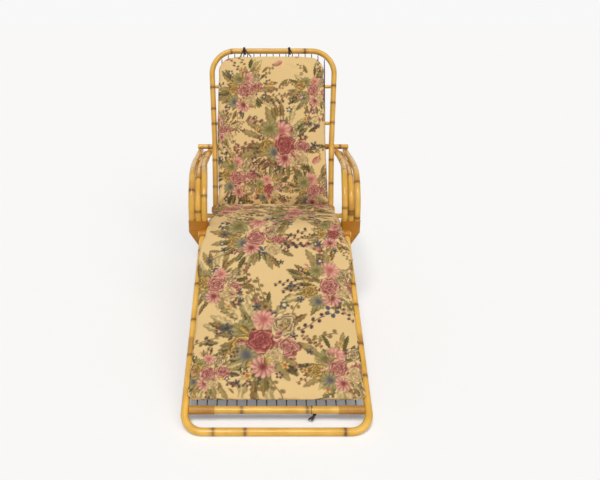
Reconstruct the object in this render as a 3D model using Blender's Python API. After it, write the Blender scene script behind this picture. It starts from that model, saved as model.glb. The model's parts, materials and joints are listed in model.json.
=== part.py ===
"""Folding rattan chaise longue: a hinged back, a seat carried by pole arms, and a hinged leg rest.

Metres, +Z up. The foot of the leg rest points to -Y and the back leans towards +Y.
"""

import math

import bmesh
import bpy
from mathutils import Matrix, Vector

# Driving dimensions: poles
POLE_R = 0.0130
POST_R = 0.0125
ARM_R = 0.0120
ROD_R = 0.0110
STRETCHER_R = 0.0110
SPINDLE_R = 0.0030
SEAT_RUNG_R = 0.0060
BACK_RUNG_R = 0.0080
RUNG_BITE = 0.0020
CANE_WALL = 0.0015
EYE_WALL = 0.0042
TIE_R = 0.0020
SEAT_GAP = 0.0003
HINGE_GAP = 0.0003

# Driving dimensions: the three hinged frames
KNEE_HEIGHT = 0.385
BACK_HINGE_HEIGHT = 0.316
SEAT_LENGTH = 0.475
LEG_LENGTH = 0.793
BACK_LENGTH = 0.733
RECLINE = math.radians(24.8)

# Driving dimensions: leg rest
LEG_KNEE_HALF = 0.276
LEG_FOOT_HALF = 0.2905
LEG_CORNER_R = 0.060
CROSSBAR_FROM_FOOT = 0.072
CROSSBAR_LASHING = 0.080
LEG_SPINDLE_PITCH = 0.0315
LEG_RUNGS = (0.14, 0.35, 0.56)
FOOT_TIE_PITCHES = 3.5

# Driving dimensions: back
POST_HINGE_HALF = 0.2625
POST_WAIST_HALF = 0.2670
POST_TOP_HALF = 0.2850
POST_WAIST_UP = 0.30
POST_WAIST_R = 1.2
BACK_CORNER_R = 0.105
BACK_RUNGS = (0.060, 0.40, 0.57)
BACK_SPINDLE_PITCH = 0.0295
SPINDLE_TAIL = 0.010
SPINDLE_TOP_GAP = 0.0010
ROD_UP = 0.2945
ROD_HALF = 0.3465
ROD_LASHING = 0.030
TOP_TIE_PITCHES = (-4.5, 2.5)
SPINDLES = 17

# Driving dimensions: seat
SEAT_RAIL_HALF = 0.225
SEAT_RAIL_FRONT = 0.013
SEAT_RAIL_TAIL = 0.125
SEAT_RUNGS = (0.12, 0.24, 0.36)
SEAT_SPINDLES = 15
SEAT_SPINDLE_PITCH = 0.028
REAR_STRETCHER_PAST_HINGE = 0.100
EYE_WIDTH = 0.028
BAR_PAST_EYE = 0.004

# Driving dimensions: arms, from the knee hinge backwards
ARM_FRONT = 0.052
ARM_CORNER_HEIGHT = 0.592
ARM_FRONT_R = 0.140
ARM_INNER_HALF = 0.2735
ARM_PITCH = 0.0246
ARM_FLARE = 0.0205
ARM_TOP_PITCH = 0.0214
ARM_TOP_DROP = 0.0153
FLARE_FROM = 0.060
FLARE_BEFORE_HINGE = 0.085
ARM_PAST_HINGE = 0.180
REAR_FOOT_PAST_HINGE = 0.160
WRAP_TOP = 0.425
WRAP_WIDE = 0.375
WRAP_TIP = 0.295
REAR_WRAP_WIDTH = 0.034
REAR_WRAP_PAST_HINGE = 0.118

# Driving dimensions: pads
PAD_THICKNESS = 0.045
PAD_LIFT = 0.0008
PAD_DRAW_IN = 0.004
PAD_SEAM = 0.30
LEG_PAD_FROM_KNEE = 0.036
LEG_PAD_FROM_CROSSBAR = 0.024
LEG_PAD_SIDE_GAP = 0.0025
SEAT_PAD_FROM_KNEE = 0.036
SEAT_PAD_FROM_HINGE = 0.035
SEAT_PAD_SIDE_GAP = 0.0067
BACK_PAD_FROM_HINGE = 0.068
BACK_PAD_FROM_TOP = 0.031
BACK_PAD_SIDE_GAP = 0.0030

SIDES = 12
BAR_SIDES = 16
SPINDLE_SIDES = 6
ARC_STEPS = 6
FLARE_STEPS = 4
X, Y, Z = Vector((1, 0, 0)), Vector((0, 1, 0)), Vector((0, 0, 1))

# Sizes that follow from the driving dimensions
LEG_SLOPE = math.asin((KNEE_HEIGHT - POLE_R) / LEG_LENGTH)
SEAT_TILT = math.asin((KNEE_HEIGHT - BACK_HINGE_HEIGHT) / SEAT_LENGTH)
EYE_BORE = (POLE_R + HINGE_GAP) / math.cos(math.pi / BAR_SIDES)
EYE_R = POLE_R + EYE_WALL
TIE_RING_R = (POST_R + SEAT_GAP + TIE_R) / math.cos(math.pi / BAR_SIDES)
REACH_FRONT = LEG_LENGTH * math.cos(LEG_SLOPE) + POLE_R
BACK_HINGE_RUN = SEAT_LENGTH * math.cos(SEAT_TILT)
REACH_REAR = BACK_HINGE_RUN + BACK_LENGTH * math.sin(RECLINE) + TIE_RING_R + TIE_R
KNEE_Y = (REACH_FRONT - REACH_REAR) / 2
SEAT_RAIL_DROP = POLE_R + POST_R + SEAT_GAP
STRETCHER_DROP = SEAT_RAIL_DROP + POST_R + STRETCHER_R + SEAT_GAP
ROD_BEHIND = POST_R + ROD_R + SEAT_GAP
SEAT_RUNG_Z = SEAT_RUNG_R - POLE_R
SEAT_SPINDLE_Z = SEAT_RUNG_Z + SEAT_RUNG_R - RUNG_BITE + SPINDLE_R
ARM_END = BACK_HINGE_RUN + ARM_PAST_HINGE
REAR_FOOT = BACK_HINGE_RUN + REAR_FOOT_PAST_HINGE
REAR_WRAP_END = BACK_HINGE_RUN + REAR_WRAP_PAST_HINGE
REAR_WRAP = (REAR_WRAP_END - REAR_WRAP_WIDTH, REAR_WRAP_END)
FLARE_TO = BACK_HINGE_RUN - FLARE_BEFORE_HINGE


def add_object(name, bm, parent, material):
    """Turns the faces outwards and makes the object."""
    bmesh.ops.recalc_face_normals(bm, faces=bm.faces)
    if bm.calc_volume(signed=True) < 0:
        bmesh.ops.reverse_faces(bm, faces=bm.faces)
    mesh = bpy.data.meshes.new(name)
    bm.to_mesh(mesh)
    bm.free()
    mesh.materials.append(material)
    mesh.shade_smooth()
    mesh.set_sharp_from_angle(angle=math.radians(40))
    piece = bpy.data.objects.new(name, mesh)
    piece.parent = parent
    bpy.context.scene.collection.objects.link(piece)
    return piece


def add_rings(bm, rings, looped):
    """Bridges each ring of points to the next; the ends are capped, or joined when looped."""
    loops = [[bm.verts.new(point) for point in ring] for ring in rings]
    pairs = list(zip(loops, loops[1:]))
    if looped:
        pairs.append((loops[-1], loops[0]))
    else:
        bm.faces.new(loops[0])
        bm.faces.new(loops[-1])
    for first, second in pairs:
        for i in range(len(first)):
            j = (i + 1) % len(first)
            bm.faces.new((first[i], first[j], second[j], second[i]))


def lofted(name, bodies, parent, material, looped=False):
    """One object from lists of rings, one list for each closed body."""
    bm = bmesh.new()
    for rings in bodies:
        add_rings(bm, rings, looped)
    return add_object(name, bm, parent, material)


def circle(centre, u, v, radius, sides):
    turns = [2 * math.pi * i / sides for i in range(sides)]
    return [centre + radius * (math.cos(a) * u + math.sin(a) * v) for a in turns]


def stadium(centre, u, v, half_run, radius):
    """A circle drawn out along u by half_run to each side."""
    points = []
    for end, start in ((1, -math.pi / 2), (-1, math.pi / 2)):
        for i in range(BAR_SIDES // 2 + 1):
            a = start + 2 * math.pi * i / BAR_SIDES
            points.append(centre + (end * half_run + radius * math.cos(a)) * u + radius * math.sin(a) * v)
    return points


def rounded_path(corners):
    """Straight runs through (point, radius) corners, each corner turned into an arc of its radius."""
    points = [corners[0][0]]
    for (before, _), (corner, radius), (after, _) in zip(corners, corners[1:], corners[2:]):
        if not radius:
            points.append(corner)
            continue
        back, ahead = (before - corner).normalized(), (after - corner).normalized()
        half = back.angle(ahead) / 2
        centre = corner + (back + ahead).normalized() * radius / math.sin(half)
        start = corner + back * radius / math.tan(half) - centre
        end = corner + ahead * radius / math.tan(half) - centre
        for step in range(ARC_STEPS + 1):
            turn = Matrix.Rotation(start.angle(end) * step / ARC_STEPS, 3, start.cross(end))
            points.append(centre + turn @ start)
    points.append(corners[-1][0])
    return points


def tube_rings(points, radius, across, sides=SIDES, floor_end=False):
    """Circles along a path, square to it, with a vertex towards across; floor_end cuts the last flat."""
    rings = []
    for i, point in enumerate(points):
        along = (points[min(i + 1, len(points) - 1)] - points[max(i - 1, 0)]).normalized()
        u = (across - along * across.dot(along)).normalized()
        rings.append(circle(point, u, along.cross(u), radius, sides))
    if floor_end:
        rings[-1] = [point - along * (point.z / along.z) for point in rings[-1]]
    return rings


def pole(name, points, radius, across, parent, material, sides=SIDES, floor_end=False):
    rings = tube_rings(points, radius, across, sides, floor_end)
    return lofted(name, [rings], parent, material)


def bar(name, half, y, z, radius, parent, material, sides=SIDES):
    """A straight pole along X."""
    ends = [Vector((-half, y, z)), Vector((half, y, z))]
    return pole(name, ends, radius, Z, parent, material, sides)


def sleeve(name, low, high, y, z, bore, outer, parent, material, sides):
    """A tube along X from low to high."""
    stations = ((low, outer), (high, outer), (high, bore), (low, bore))
    rings = [circle(Vector((x, y, z)), Z, Y, radius, sides) for x, radius in stations]
    return lofted(name, [rings], parent, material, looped=True)


def tie(name, x, y, z, parent, material):
    """A cord tied once round a bar that runs along X."""
    rings = []
    for i in range(BAR_SIDES):
        a = 2 * math.pi * i / BAR_SIDES
        out = math.cos(a) * Z + math.sin(a) * Y
        rings.append(circle(Vector((x, y, z)) + TIE_RING_R * out, out, X, TIE_R, SPINDLE_SIDES))
    return lofted(name, [rings], parent, material, looped=True)


def lattice(name, spindles, rungs, across, rung_r, parent, material):
    """Thin rods fixed to cross rungs, as one body."""
    rods = [tube_rings(ends, SPINDLE_R, across, SPINDLE_SIDES) for ends in spindles]
    panel = lofted(name, rods, parent, material)
    cross = [tube_rings(ends, rung_r, across, SIDES) for ends in rungs]
    rung_set = lofted(name + "_rungs", cross, parent, material)
    rung_set.hide_render = True
    rung_set.display_type = "WIRE"
    join = panel.modifiers.new("rungs", "BOOLEAN")
    join.operation = "UNION"
    join.object = rung_set
    return panel


def pad(name, low, high, half, top_corner, foot_corner, place, parent, material):
    """A filled pad: a superellipse outline drawn in along its sides, crowned above, flat below.

    place(x, along, up) puts a point in the frame that carries the pad.
    """
    columns, rows = 12, 16
    middle, reach = (low + high) / 2, (high - low) / 2

    def point(i, j, above):
        u, v = 2 * i / columns - 1, 2 * j / rows - 1
        corner = top_corner if v > 0 else foot_corner
        edge = max(abs(u), abs(v))
        shrink = edge / (abs(u) ** corner + abs(v) ** corner) ** (1 / corner) if edge else 1
        drawn = PAD_DRAW_IN * edge
        x = (half - drawn * (1 - v * v)) * u * shrink
        along = middle + (reach - drawn * (1 - u * u)) * v * shrink
        swell = (1 - edge**8) ** 0.4
        seam = PAD_THICKNESS * PAD_SEAM
        up = seam + (PAD_THICKNESS - seam) * swell if above else seam * (1 - swell)
        return place(x, along, SPINDLE_R + PAD_LIFT + up)

    bm = bmesh.new()
    grids = {}
    for above in (True, False):
        for i in range(columns + 1):
            for j in range(rows + 1):
                on_edge = i in (0, columns) or j in (0, rows)
                if on_edge and not above:
                    grids[above, i, j] = grids[True, i, j]
                else:
                    grids[above, i, j] = bm.verts.new(point(i, j, above))
        for i in range(columns):
            for j in range(rows):
                around = ((i, j), (i + 1, j), (i + 1, j + 1), (i, j + 1))
                bm.faces.new([grids[above, *spot] for spot in around])
    return add_object(name, bm, parent, material)


def spread(count, pitch):
    return [(i - (count - 1) / 2) * pitch for i in range(count)]


def make_material(name, color, roughness):
    material = bpy.data.materials.new(name)
    material.use_nodes = True
    shader = material.node_tree.nodes["Principled BSDF"]
    shader.inputs["Base Color"].default_value = (*color, 1)
    shader.inputs["Roughness"].default_value = roughness
    shader.inputs["Metallic"].default_value = 0
    return material


def frame_empty(name, y, z, turn):
    empty = bpy.data.objects.new(name, None)
    empty.location = (0, y, z)
    empty.rotation_euler = (turn, 0, 0)
    bpy.context.scene.collection.objects.link(empty)
    return empty


def leg_half(distance):
    """Half the distance between the leg rails, at a distance from the knee hinge."""
    return LEG_KNEE_HALF + (LEG_FOOT_HALF - LEG_KNEE_HALF) * distance / LEG_LENGTH


def post_half(up):
    """Half the distance between the back posts, at a distance up from the back hinge."""
    if up < POST_WAIST_UP:
        return POST_HINGE_HALF + (POST_WAIST_HALF - POST_HINGE_HALF) * up / POST_WAIST_UP
    rise = (up - POST_WAIST_UP) / (BACK_LENGTH - POST_WAIST_UP)
    return POST_WAIST_HALF + (POST_TOP_HALF - POST_WAIST_HALF) * rise


def make_leg_rest(carrier, finish):
    """The leg rest lies along -Y of its carrier, whose X axis is the knee hinge."""
    start = EYE_R + SEAT_GAP
    left = [
        (Vector((-leg_half(start), -start, 0)), 0),
        (Vector((-LEG_FOOT_HALF, -LEG_LENGTH, 0)), LEG_CORNER_R),
    ]
    right = [(Vector((-p.x, p.y, p.z)), radius) for p, radius in reversed(left)]
    pole("leg_frame", rounded_path(left + right), POLE_R, Z, carrier, finish["rattan"])

    crossbar_y = -(LEG_LENGTH - CROSSBAR_FROM_FOOT)
    crossbar_half = leg_half(-crossbar_y) - POLE_R - SEAT_GAP
    bar("leg_crossbar", crossbar_half, crossbar_y, 0, POST_R, carrier, finish["rattan"])
    lashing_bore = POST_R + SEAT_GAP
    lashing_r = lashing_bore + CANE_WALL
    lashing_from = crossbar_half - CROSSBAR_LASHING
    for side, ends in (("left", (-crossbar_half, -lashing_from)), ("right", (lashing_from, crossbar_half))):
        sleeve(
            f"crossbar_lashing_{side}", *ends, crossbar_y, 0, lashing_bore, lashing_r,
            carrier, finish["cane"], SIDES,
        )

    spindles = []
    for x in spread(SPINDLES, LEG_SPINDLE_PITCH):
        stop = lashing_r if abs(x) + SPINDLE_R > lashing_from else POST_R
        foot = Vector((x, crossbar_y + stop + SEAT_GAP, 0))
        spindles.append([Vector((x, -EYE_R - SEAT_GAP, 0)), foot])
    rung_z = RUNG_BITE - SPINDLE_R - SEAT_RUNG_R
    rungs = []
    for distance in LEG_RUNGS:
        half = leg_half(distance) - POLE_R - SEAT_GAP
        rungs.append([Vector((-half, -distance, rung_z)), Vector((half, -distance, rung_z))])
    lattice("leg_lattice", spindles, rungs, Z, SEAT_RUNG_R, carrier, finish["spindle"])

    add_eyes("leg_hinge_eye", leg_half(0), carrier, finish)
    pad_end = LEG_LENGTH - CROSSBAR_FROM_FOOT - LEG_PAD_FROM_CROSSBAR
    pad_half = LEG_KNEE_HALF - POLE_R - LEG_PAD_SIDE_GAP
    pad(
        "leg_pad", LEG_PAD_FROM_KNEE, pad_end, pad_half, 9, 9, lambda x, a, up: (x, -a, up),
        carrier, finish["cloth"],
    )
    tie("foot_tie", FOOT_TIE_PITCHES * LEG_SPINDLE_PITCH, crossbar_y, 0, carrier, finish["tie"])


def make_back(carrier, finish):
    """The back stands along Z of its carrier, whose X axis is the back hinge; +Y is its rear."""
    start = EYE_R + SEAT_GAP
    left = [
        (Vector((-post_half(start), 0, start)), 0),
        (Vector((-POST_WAIST_HALF, 0, POST_WAIST_UP)), POST_WAIST_R),
        (Vector((-POST_TOP_HALF, 0, BACK_LENGTH)), BACK_CORNER_R),
    ]
    right = [(Vector((-p.x, p.y, p.z)), radius) for p, radius in reversed(left)]
    pole("back_frame", rounded_path(left + right), POST_R, Y, carrier, finish["rattan"])

    inner_r = BACK_CORNER_R - POST_R
    lean = math.atan2(POST_TOP_HALF - POST_WAIST_HALF, BACK_LENGTH - POST_WAIST_UP)
    corner_x = POST_TOP_HALF - BACK_CORNER_R / math.tan(math.pi / 4 - lean / 2)
    corner_z = BACK_LENGTH - BACK_CORNER_R
    spindles = []
    for x in spread(SPINDLES, BACK_SPINDLE_PITCH):
        past = max(abs(x) + SPINDLE_R - corner_x, 0)
        top = corner_z + math.sqrt(inner_r**2 - past**2) - SPINDLE_TOP_GAP
        spindles.append([Vector((x, 0, BACK_RUNGS[0] - SPINDLE_TAIL)), Vector((x, 0, top))])
    rung_y = SPINDLE_R + BACK_RUNG_R - RUNG_BITE
    rungs = []
    for up in BACK_RUNGS:
        half = post_half(up) - POST_R - SEAT_GAP
        rungs.append([Vector((-half, rung_y, up)), Vector((half, rung_y, up))])
    lattice("back_lattice", spindles, rungs, Y, BACK_RUNG_R, carrier, finish["spindle"])

    bar("recline_rod", ROD_HALF, ROD_BEHIND, ROD_UP, ROD_R, carrier, finish["rattan"])
    outer = post_half(ROD_UP) - POST_R - SEAT_GAP
    inner = outer - ROD_LASHING
    bore = ROD_R + SEAT_GAP
    for side, ends in (("left", (-outer, -inner)), ("right", (inner, outer))):
        sleeve(
            f"rod_lashing_{side}", *ends, ROD_BEHIND, ROD_UP, bore, bore + CANE_WALL,
            carrier, finish["cane"], SIDES,
        )

    add_eyes("back_hinge_eye", post_half(0), carrier, finish)
    pad_half = POST_HINGE_HALF - POST_R - BACK_PAD_SIDE_GAP
    pad(
        "back_pad", BACK_PAD_FROM_HINGE, BACK_LENGTH - BACK_PAD_FROM_TOP, pad_half, 5, 12,
        lambda x, a, up: (x, -up, a), carrier, finish["cloth"],
    )
    for side, pitches in zip(("left", "right"), TOP_TIE_PITCHES):
        tie(f"top_tie_{side}", pitches * BACK_SPINDLE_PITCH, 0, BACK_LENGTH, carrier, finish["tie"])


def add_eyes(name, half, carrier, finish):
    """A cane-wrapped eye round the hinge bar at each end of a frame."""
    for side, x in (("left", -half), ("right", half)):
        sleeve(
            f"{name}_{side}", x - EYE_WIDTH / 2, x + EYE_WIDTH / 2, 0, 0, EYE_BORE, EYE_R,
            carrier, finish["cane"], BAR_SIDES,
        )


def make_seat(carrier, finish):
    """The seat lies along +Y of its carrier, from the knee hinge bar to the back hinge bar."""
    rattan = finish["rattan"]
    past_eye = EYE_WIDTH / 2 + BAR_PAST_EYE
    bar("knee_hinge_bar", leg_half(0) + past_eye, 0, 0, POLE_R, carrier, rattan, BAR_SIDES)
    bar("back_hinge_bar", post_half(0) + past_eye, SEAT_LENGTH, 0, POLE_R, carrier, rattan, BAR_SIDES)
    for side, x in (("left", -SEAT_RAIL_HALF), ("right", SEAT_RAIL_HALF)):
        front = Vector((x, -SEAT_RAIL_FRONT, -SEAT_RAIL_DROP))
        rear = Vector((x, SEAT_LENGTH + SEAT_RAIL_TAIL, -SEAT_RAIL_DROP))
        pole(f"seat_rail_{side}", [front, rear], POST_R, X, carrier, rattan)

    reach = POLE_R + SEAT_GAP
    spindles = [
        [Vector((x, reach, SEAT_SPINDLE_Z)), Vector((x, SEAT_LENGTH - reach, SEAT_SPINDLE_Z))]
        for x in spread(SEAT_SPINDLES, SEAT_SPINDLE_PITCH)
    ]
    half = SEAT_RAIL_HALF + POST_R
    rungs = [[Vector((-half, y, SEAT_RUNG_Z)), Vector((half, y, SEAT_RUNG_Z))] for y in SEAT_RUNGS]
    lattice("seat_lattice", spindles, rungs, Z, SEAT_RUNG_R, carrier, finish["spindle"])

    front_half = ARM_INNER_HALF - ARM_R - CANE_WALL - 2 * SEAT_GAP
    pad(
        "seat_pad", SEAT_PAD_FROM_KNEE, SEAT_LENGTH - SEAT_PAD_FROM_HINGE,
        front_half - SEAT_PAD_SIDE_GAP, 12, 12, lambda x, a, up: (x, a, SEAT_SPINDLE_Z + up),
        carrier, finish["cloth"],
    )

    front_y = (ARM_FRONT + STRETCHER_DROP * math.sin(SEAT_TILT)) / math.cos(SEAT_TILT)
    bar("front_stretcher", front_half, front_y, -STRETCHER_DROP, STRETCHER_R, carrier, rattan)
    rear_half = rear_leg_half() - ARM_R - SEAT_GAP
    rear_y = SEAT_LENGTH + REAR_STRETCHER_PAST_HINGE
    bar("rear_stretcher", rear_half, rear_y, -STRETCHER_DROP, STRETCHER_R, carrier, rattan)


def rear_stretcher_spot():
    """The rear stretcher's distance behind the knee and its height."""
    run, drop = SEAT_LENGTH + REAR_STRETCHER_PAST_HINGE, STRETCHER_DROP
    y = run * math.cos(SEAT_TILT) - drop * math.sin(SEAT_TILT)
    z = KNEE_HEIGHT - run * math.sin(SEAT_TILT) - drop * math.cos(SEAT_TILT)
    return y, z


def rod_spot():
    """The recline rod's distance behind the knee and its height."""
    y = BACK_HINGE_RUN + ROD_UP * math.sin(RECLINE) + ROD_BEHIND * math.cos(RECLINE)
    z = BACK_HINGE_HEIGHT + ROD_UP * math.cos(RECLINE) - ROD_BEHIND * math.sin(RECLINE)
    return y, z


def arm_rise():
    """Slope of the arm's top run, which passes just under the recline rod."""
    rod_y, rod_z = rod_spot()
    run, rise = rod_y - ARM_FRONT, rod_z - ARM_CORNER_HEIGHT
    return math.atan2(rise, run) - math.asin((ROD_R + ARM_R + SEAT_GAP) / math.hypot(run, rise))


def arm_half(i, y):
    """Pole i's distance from the middle at y: side by side at the front, spread and closer at the rear."""
    t = min(max((y - FLARE_FROM) / (FLARE_TO - FLARE_FROM), 0), 1)
    front = ARM_INNER_HALF + i * ARM_PITCH
    rear = ARM_INNER_HALF + ARM_FLARE + i * ARM_TOP_PITCH
    return front + (rear - front) * t * t * (3 - 2 * t)


def arm_path(kind):
    """The pole's side view as points at x = 0; the middle pole's top is nested lower between the others."""
    slope = math.tan(arm_rise())
    drop = ARM_TOP_DROP if kind == "middle" else 0

    def top(y):
        return Vector((0, y, ARM_CORNER_HEIGHT - drop + slope * (y - ARM_FRONT)))

    front_end = 0 if kind == "inner" else WRAP_WIDE + CANE_WALL
    corners = [(Vector((0, ARM_FRONT, front_end)), 0), (top(ARM_FRONT), ARM_FRONT_R - drop)]
    bend_end = ARM_FRONT + ARM_FRONT_R
    stations = [bend_end + (FLARE_TO - bend_end) * (i + 1) / FLARE_STEPS for i in range(FLARE_STEPS)]
    corners += [(top(y), 0) for y in stations]
    corners.append((top(ARM_END), 0))
    return rounded_path(corners)


def rear_leg_half():
    """The rear leg's distance from the middle: outside the middle arm pole, under the outer one."""
    return arm_half(1, FLARE_TO) + 2 * ARM_R + SEAT_GAP


def rear_leg_path():
    """The rear leg at x = 0: from just under the outer arm pole, past the rear stretcher, to the floor."""
    slope = math.tan(arm_rise())
    spot_y, spot_z = rear_stretcher_spot()
    lean = (REAR_FOOT - spot_y) / spot_z
    meet_y = (REAR_FOOT - lean * (ARM_CORNER_HEIGHT - slope * ARM_FRONT)) / (1 + lean * slope)
    meet = Vector((0, meet_y, ARM_CORNER_HEIGHT + slope * (meet_y - ARM_FRONT)))
    foot = Vector((0, REAR_FOOT, 0))
    down = (foot - meet).normalized()
    cosine = abs(down.dot(Vector((0, 1, slope)).normalized()))
    clear = (ARM_R * (1 + cosine) + SEAT_GAP) / math.sqrt(1 - cosine**2)
    return [meet + clear * down, foot]


def make_side(side, sign, carrier, finish):
    """Three arm poles, the inner one carried on down as the front leg, and a rear leg under the outer one."""
    for i, kind in enumerate(("inner", "middle", "outer")):
        points = [Vector((sign * arm_half(i, p.y), p.y, p.z)) for p in arm_path(kind)]
        pole(f"arm_pole_{kind}_{side}", points, ARM_R, X, carrier, finish["rattan"])
    points = [Vector((sign * rear_leg_half(), p.y, p.z)) for p in rear_leg_path()]
    pole(f"rear_leg_{side}", points, ARM_R, X, carrier, finish["rattan"], floor_end=True)

    bore = ARM_R + SEAT_GAP
    stations = ((WRAP_TOP, 1), (WRAP_WIDE, 1), (WRAP_TIP, 0))
    bands = []
    for radius, order in ((bore + CANE_WALL, stations), (bore, stations[::-1])):
        for z, width in order:
            run = ARM_PITCH * width
            centre = Vector((sign * (ARM_INNER_HALF + run), ARM_FRONT, z))
            bands.append(stadium(centre, X, Y, run, radius))
    lofted(f"front_lashing_{side}", [bands], carrier, finish["cane"], looped=True)

    rise = arm_rise()
    up = Vector((0, -math.sin(rise), math.cos(rise)))
    drop = ARM_TOP_DROP * math.cos(rise)
    across = (ARM_TOP_PITCH * X - sign * drop * up).normalized()
    above = (sign * drop * X + ARM_TOP_PITCH * up).normalized()
    half_run = math.hypot(ARM_TOP_PITCH, drop) / 2
    half = (arm_half(0, FLARE_TO) + arm_half(1, FLARE_TO)) / 2
    bands = []
    for radius, order in ((bore + CANE_WALL, REAR_WRAP), (bore, REAR_WRAP[::-1])):
        for y in order:
            z = ARM_CORNER_HEIGHT - ARM_TOP_DROP / 2 + math.tan(rise) * (y - ARM_FRONT)
            bands.append(stadium(Vector((sign * half, y, z)), across, above, half_run, radius))
    lofted(f"rear_lashing_{side}", [bands], carrier, finish["cane"], looped=True)


def main():
    for old in list(bpy.data.objects):
        bpy.data.objects.remove(old)
    finish = {
        "rattan": make_material("rattan", (0.72, 0.47, 0.17), 0.35),
        "cane": make_material("cane", (0.52, 0.25, 0.06), 0.5),
        "spindle": make_material("spindle", (0.13, 0.07, 0.05), 0.5),
        "cloth": make_material("cloth", (0.75, 0.58, 0.36), 0.9),
        "tie": make_material("tie", (0.03, 0.02, 0.015), 0.8),
    }
    make_leg_rest(frame_empty("knee_hinge", KNEE_Y, KNEE_HEIGHT, LEG_SLOPE), finish)
    make_seat(frame_empty("seat", KNEE_Y, KNEE_HEIGHT, -SEAT_TILT), finish)
    back_y = KNEE_Y + BACK_HINGE_RUN
    make_back(frame_empty("back_hinge", back_y, BACK_HINGE_HEIGHT, -RECLINE), finish)
    sides = frame_empty("sides", KNEE_Y, 0, 0)
    for side, sign in (("left", -1), ("right", 1)):
        make_side(side, sign, sides, finish)


main()
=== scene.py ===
"""Folding rattan chaise longue: rattan poles, cane lashings, a printed padded cover and its ties.

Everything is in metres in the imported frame: +Z up, the foot towards -Y, the back towards +Y.
"""

import itertools
import json
import math

import bmesh
import bpy
import numpy as np
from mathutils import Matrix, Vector

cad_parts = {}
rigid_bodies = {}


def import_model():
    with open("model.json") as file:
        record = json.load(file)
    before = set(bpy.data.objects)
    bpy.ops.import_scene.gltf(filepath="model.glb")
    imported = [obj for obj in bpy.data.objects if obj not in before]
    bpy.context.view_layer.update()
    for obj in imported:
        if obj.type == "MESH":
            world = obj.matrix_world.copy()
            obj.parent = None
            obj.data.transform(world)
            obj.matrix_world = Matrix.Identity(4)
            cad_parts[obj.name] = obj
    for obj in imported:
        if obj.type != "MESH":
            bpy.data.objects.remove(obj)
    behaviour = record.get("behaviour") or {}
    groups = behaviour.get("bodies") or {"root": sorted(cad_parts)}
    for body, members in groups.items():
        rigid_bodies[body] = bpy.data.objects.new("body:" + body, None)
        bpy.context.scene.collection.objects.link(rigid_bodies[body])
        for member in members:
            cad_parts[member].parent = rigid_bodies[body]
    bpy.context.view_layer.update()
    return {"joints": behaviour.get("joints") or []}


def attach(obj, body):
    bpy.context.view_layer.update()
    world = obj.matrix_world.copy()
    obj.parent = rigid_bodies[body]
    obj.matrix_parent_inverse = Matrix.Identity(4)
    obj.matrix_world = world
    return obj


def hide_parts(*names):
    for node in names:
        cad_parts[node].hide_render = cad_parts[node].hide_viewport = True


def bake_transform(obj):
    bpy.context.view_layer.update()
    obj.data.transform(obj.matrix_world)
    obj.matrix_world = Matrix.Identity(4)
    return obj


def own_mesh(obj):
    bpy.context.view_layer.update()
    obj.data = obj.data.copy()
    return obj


for old in list(bpy.data.objects):
    bpy.data.objects.remove(old)
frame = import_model()

# Poles
POLE_R = 0.0130
POST_R = 0.0125
ARM_R = 0.0120
ROD_R = 0.0110
STRETCHER_R = 0.0110
SPINDLE_R = 0.0030
SEAT_RUNG_R = 0.0060
BACK_RUNG_R = 0.0080
RUNG_BITE = 0.0020
CANE_WALL = 0.0015
EYE_WALL = 0.0042
EYE_R = POLE_R + EYE_WALL
SEAT_GAP = 0.0003

# The three hinged frames
KNEE_HEIGHT = 0.385
BACK_HINGE_HEIGHT = 0.316
SEAT_LENGTH = 0.475
LEG_LENGTH = 0.793
BACK_LENGTH = 0.733
RECLINE = math.radians(24.8)
LEG_SLOPE = math.asin((KNEE_HEIGHT - POLE_R) / LEG_LENGTH)
SEAT_TILT = math.asin((KNEE_HEIGHT - BACK_HINGE_HEIGHT) / SEAT_LENGTH)
HINGES = {joint["name"]: np.array(joint["pos_m"], float) for joint in frame["joints"]}
KNEE = HINGES["knee_hinge"]
BACK_HINGE = HINGES["back_hinge"]
BACK_HINGE_RUN = SEAT_LENGTH * math.cos(SEAT_TILT)

# Leg rest
LEG_KNEE_HALF = 0.276
LEG_FOOT_HALF = 0.2905
LEG_CORNER_R = 0.060
CROSSBAR_AT = LEG_LENGTH - 0.072
CROSSBAR_LASHING = 0.080
LEG_SPINDLE_PITCH = 0.0315
LEG_RUNGS = (0.14, 0.35, 0.56)
SPINDLES = 17

# Back
POST_HINGE_HALF = 0.2625
POST_WAIST_HALF = 0.2670
POST_TOP_HALF = 0.2850
POST_WAIST_UP = 0.30
BACK_CORNER_R = 0.105
BACK_RUNGS = (0.060, 0.40, 0.57)
BACK_SPINDLE_PITCH = 0.0295
ROD_UP = 0.2945
ROD_HALF = 0.3465
ROD_BEHIND = POST_R + ROD_R + SEAT_GAP
ROD_LASHING = 0.030

# Seat
SEAT_RAIL_HALF = 0.225
SEAT_RAIL_DROP = POLE_R + POST_R + SEAT_GAP
SEAT_RUNGS = (0.12, 0.24, 0.36)
SEAT_SPINDLES = 15
SEAT_SPINDLE_PITCH = 0.028
STRETCHER_DROP = SEAT_RAIL_DROP + POST_R + STRETCHER_R + SEAT_GAP
REAR_STRETCHER_AT = SEAT_LENGTH + 0.100
EYE_WIDTH = 0.028
BAR_PAST_EYE = 0.004

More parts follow.
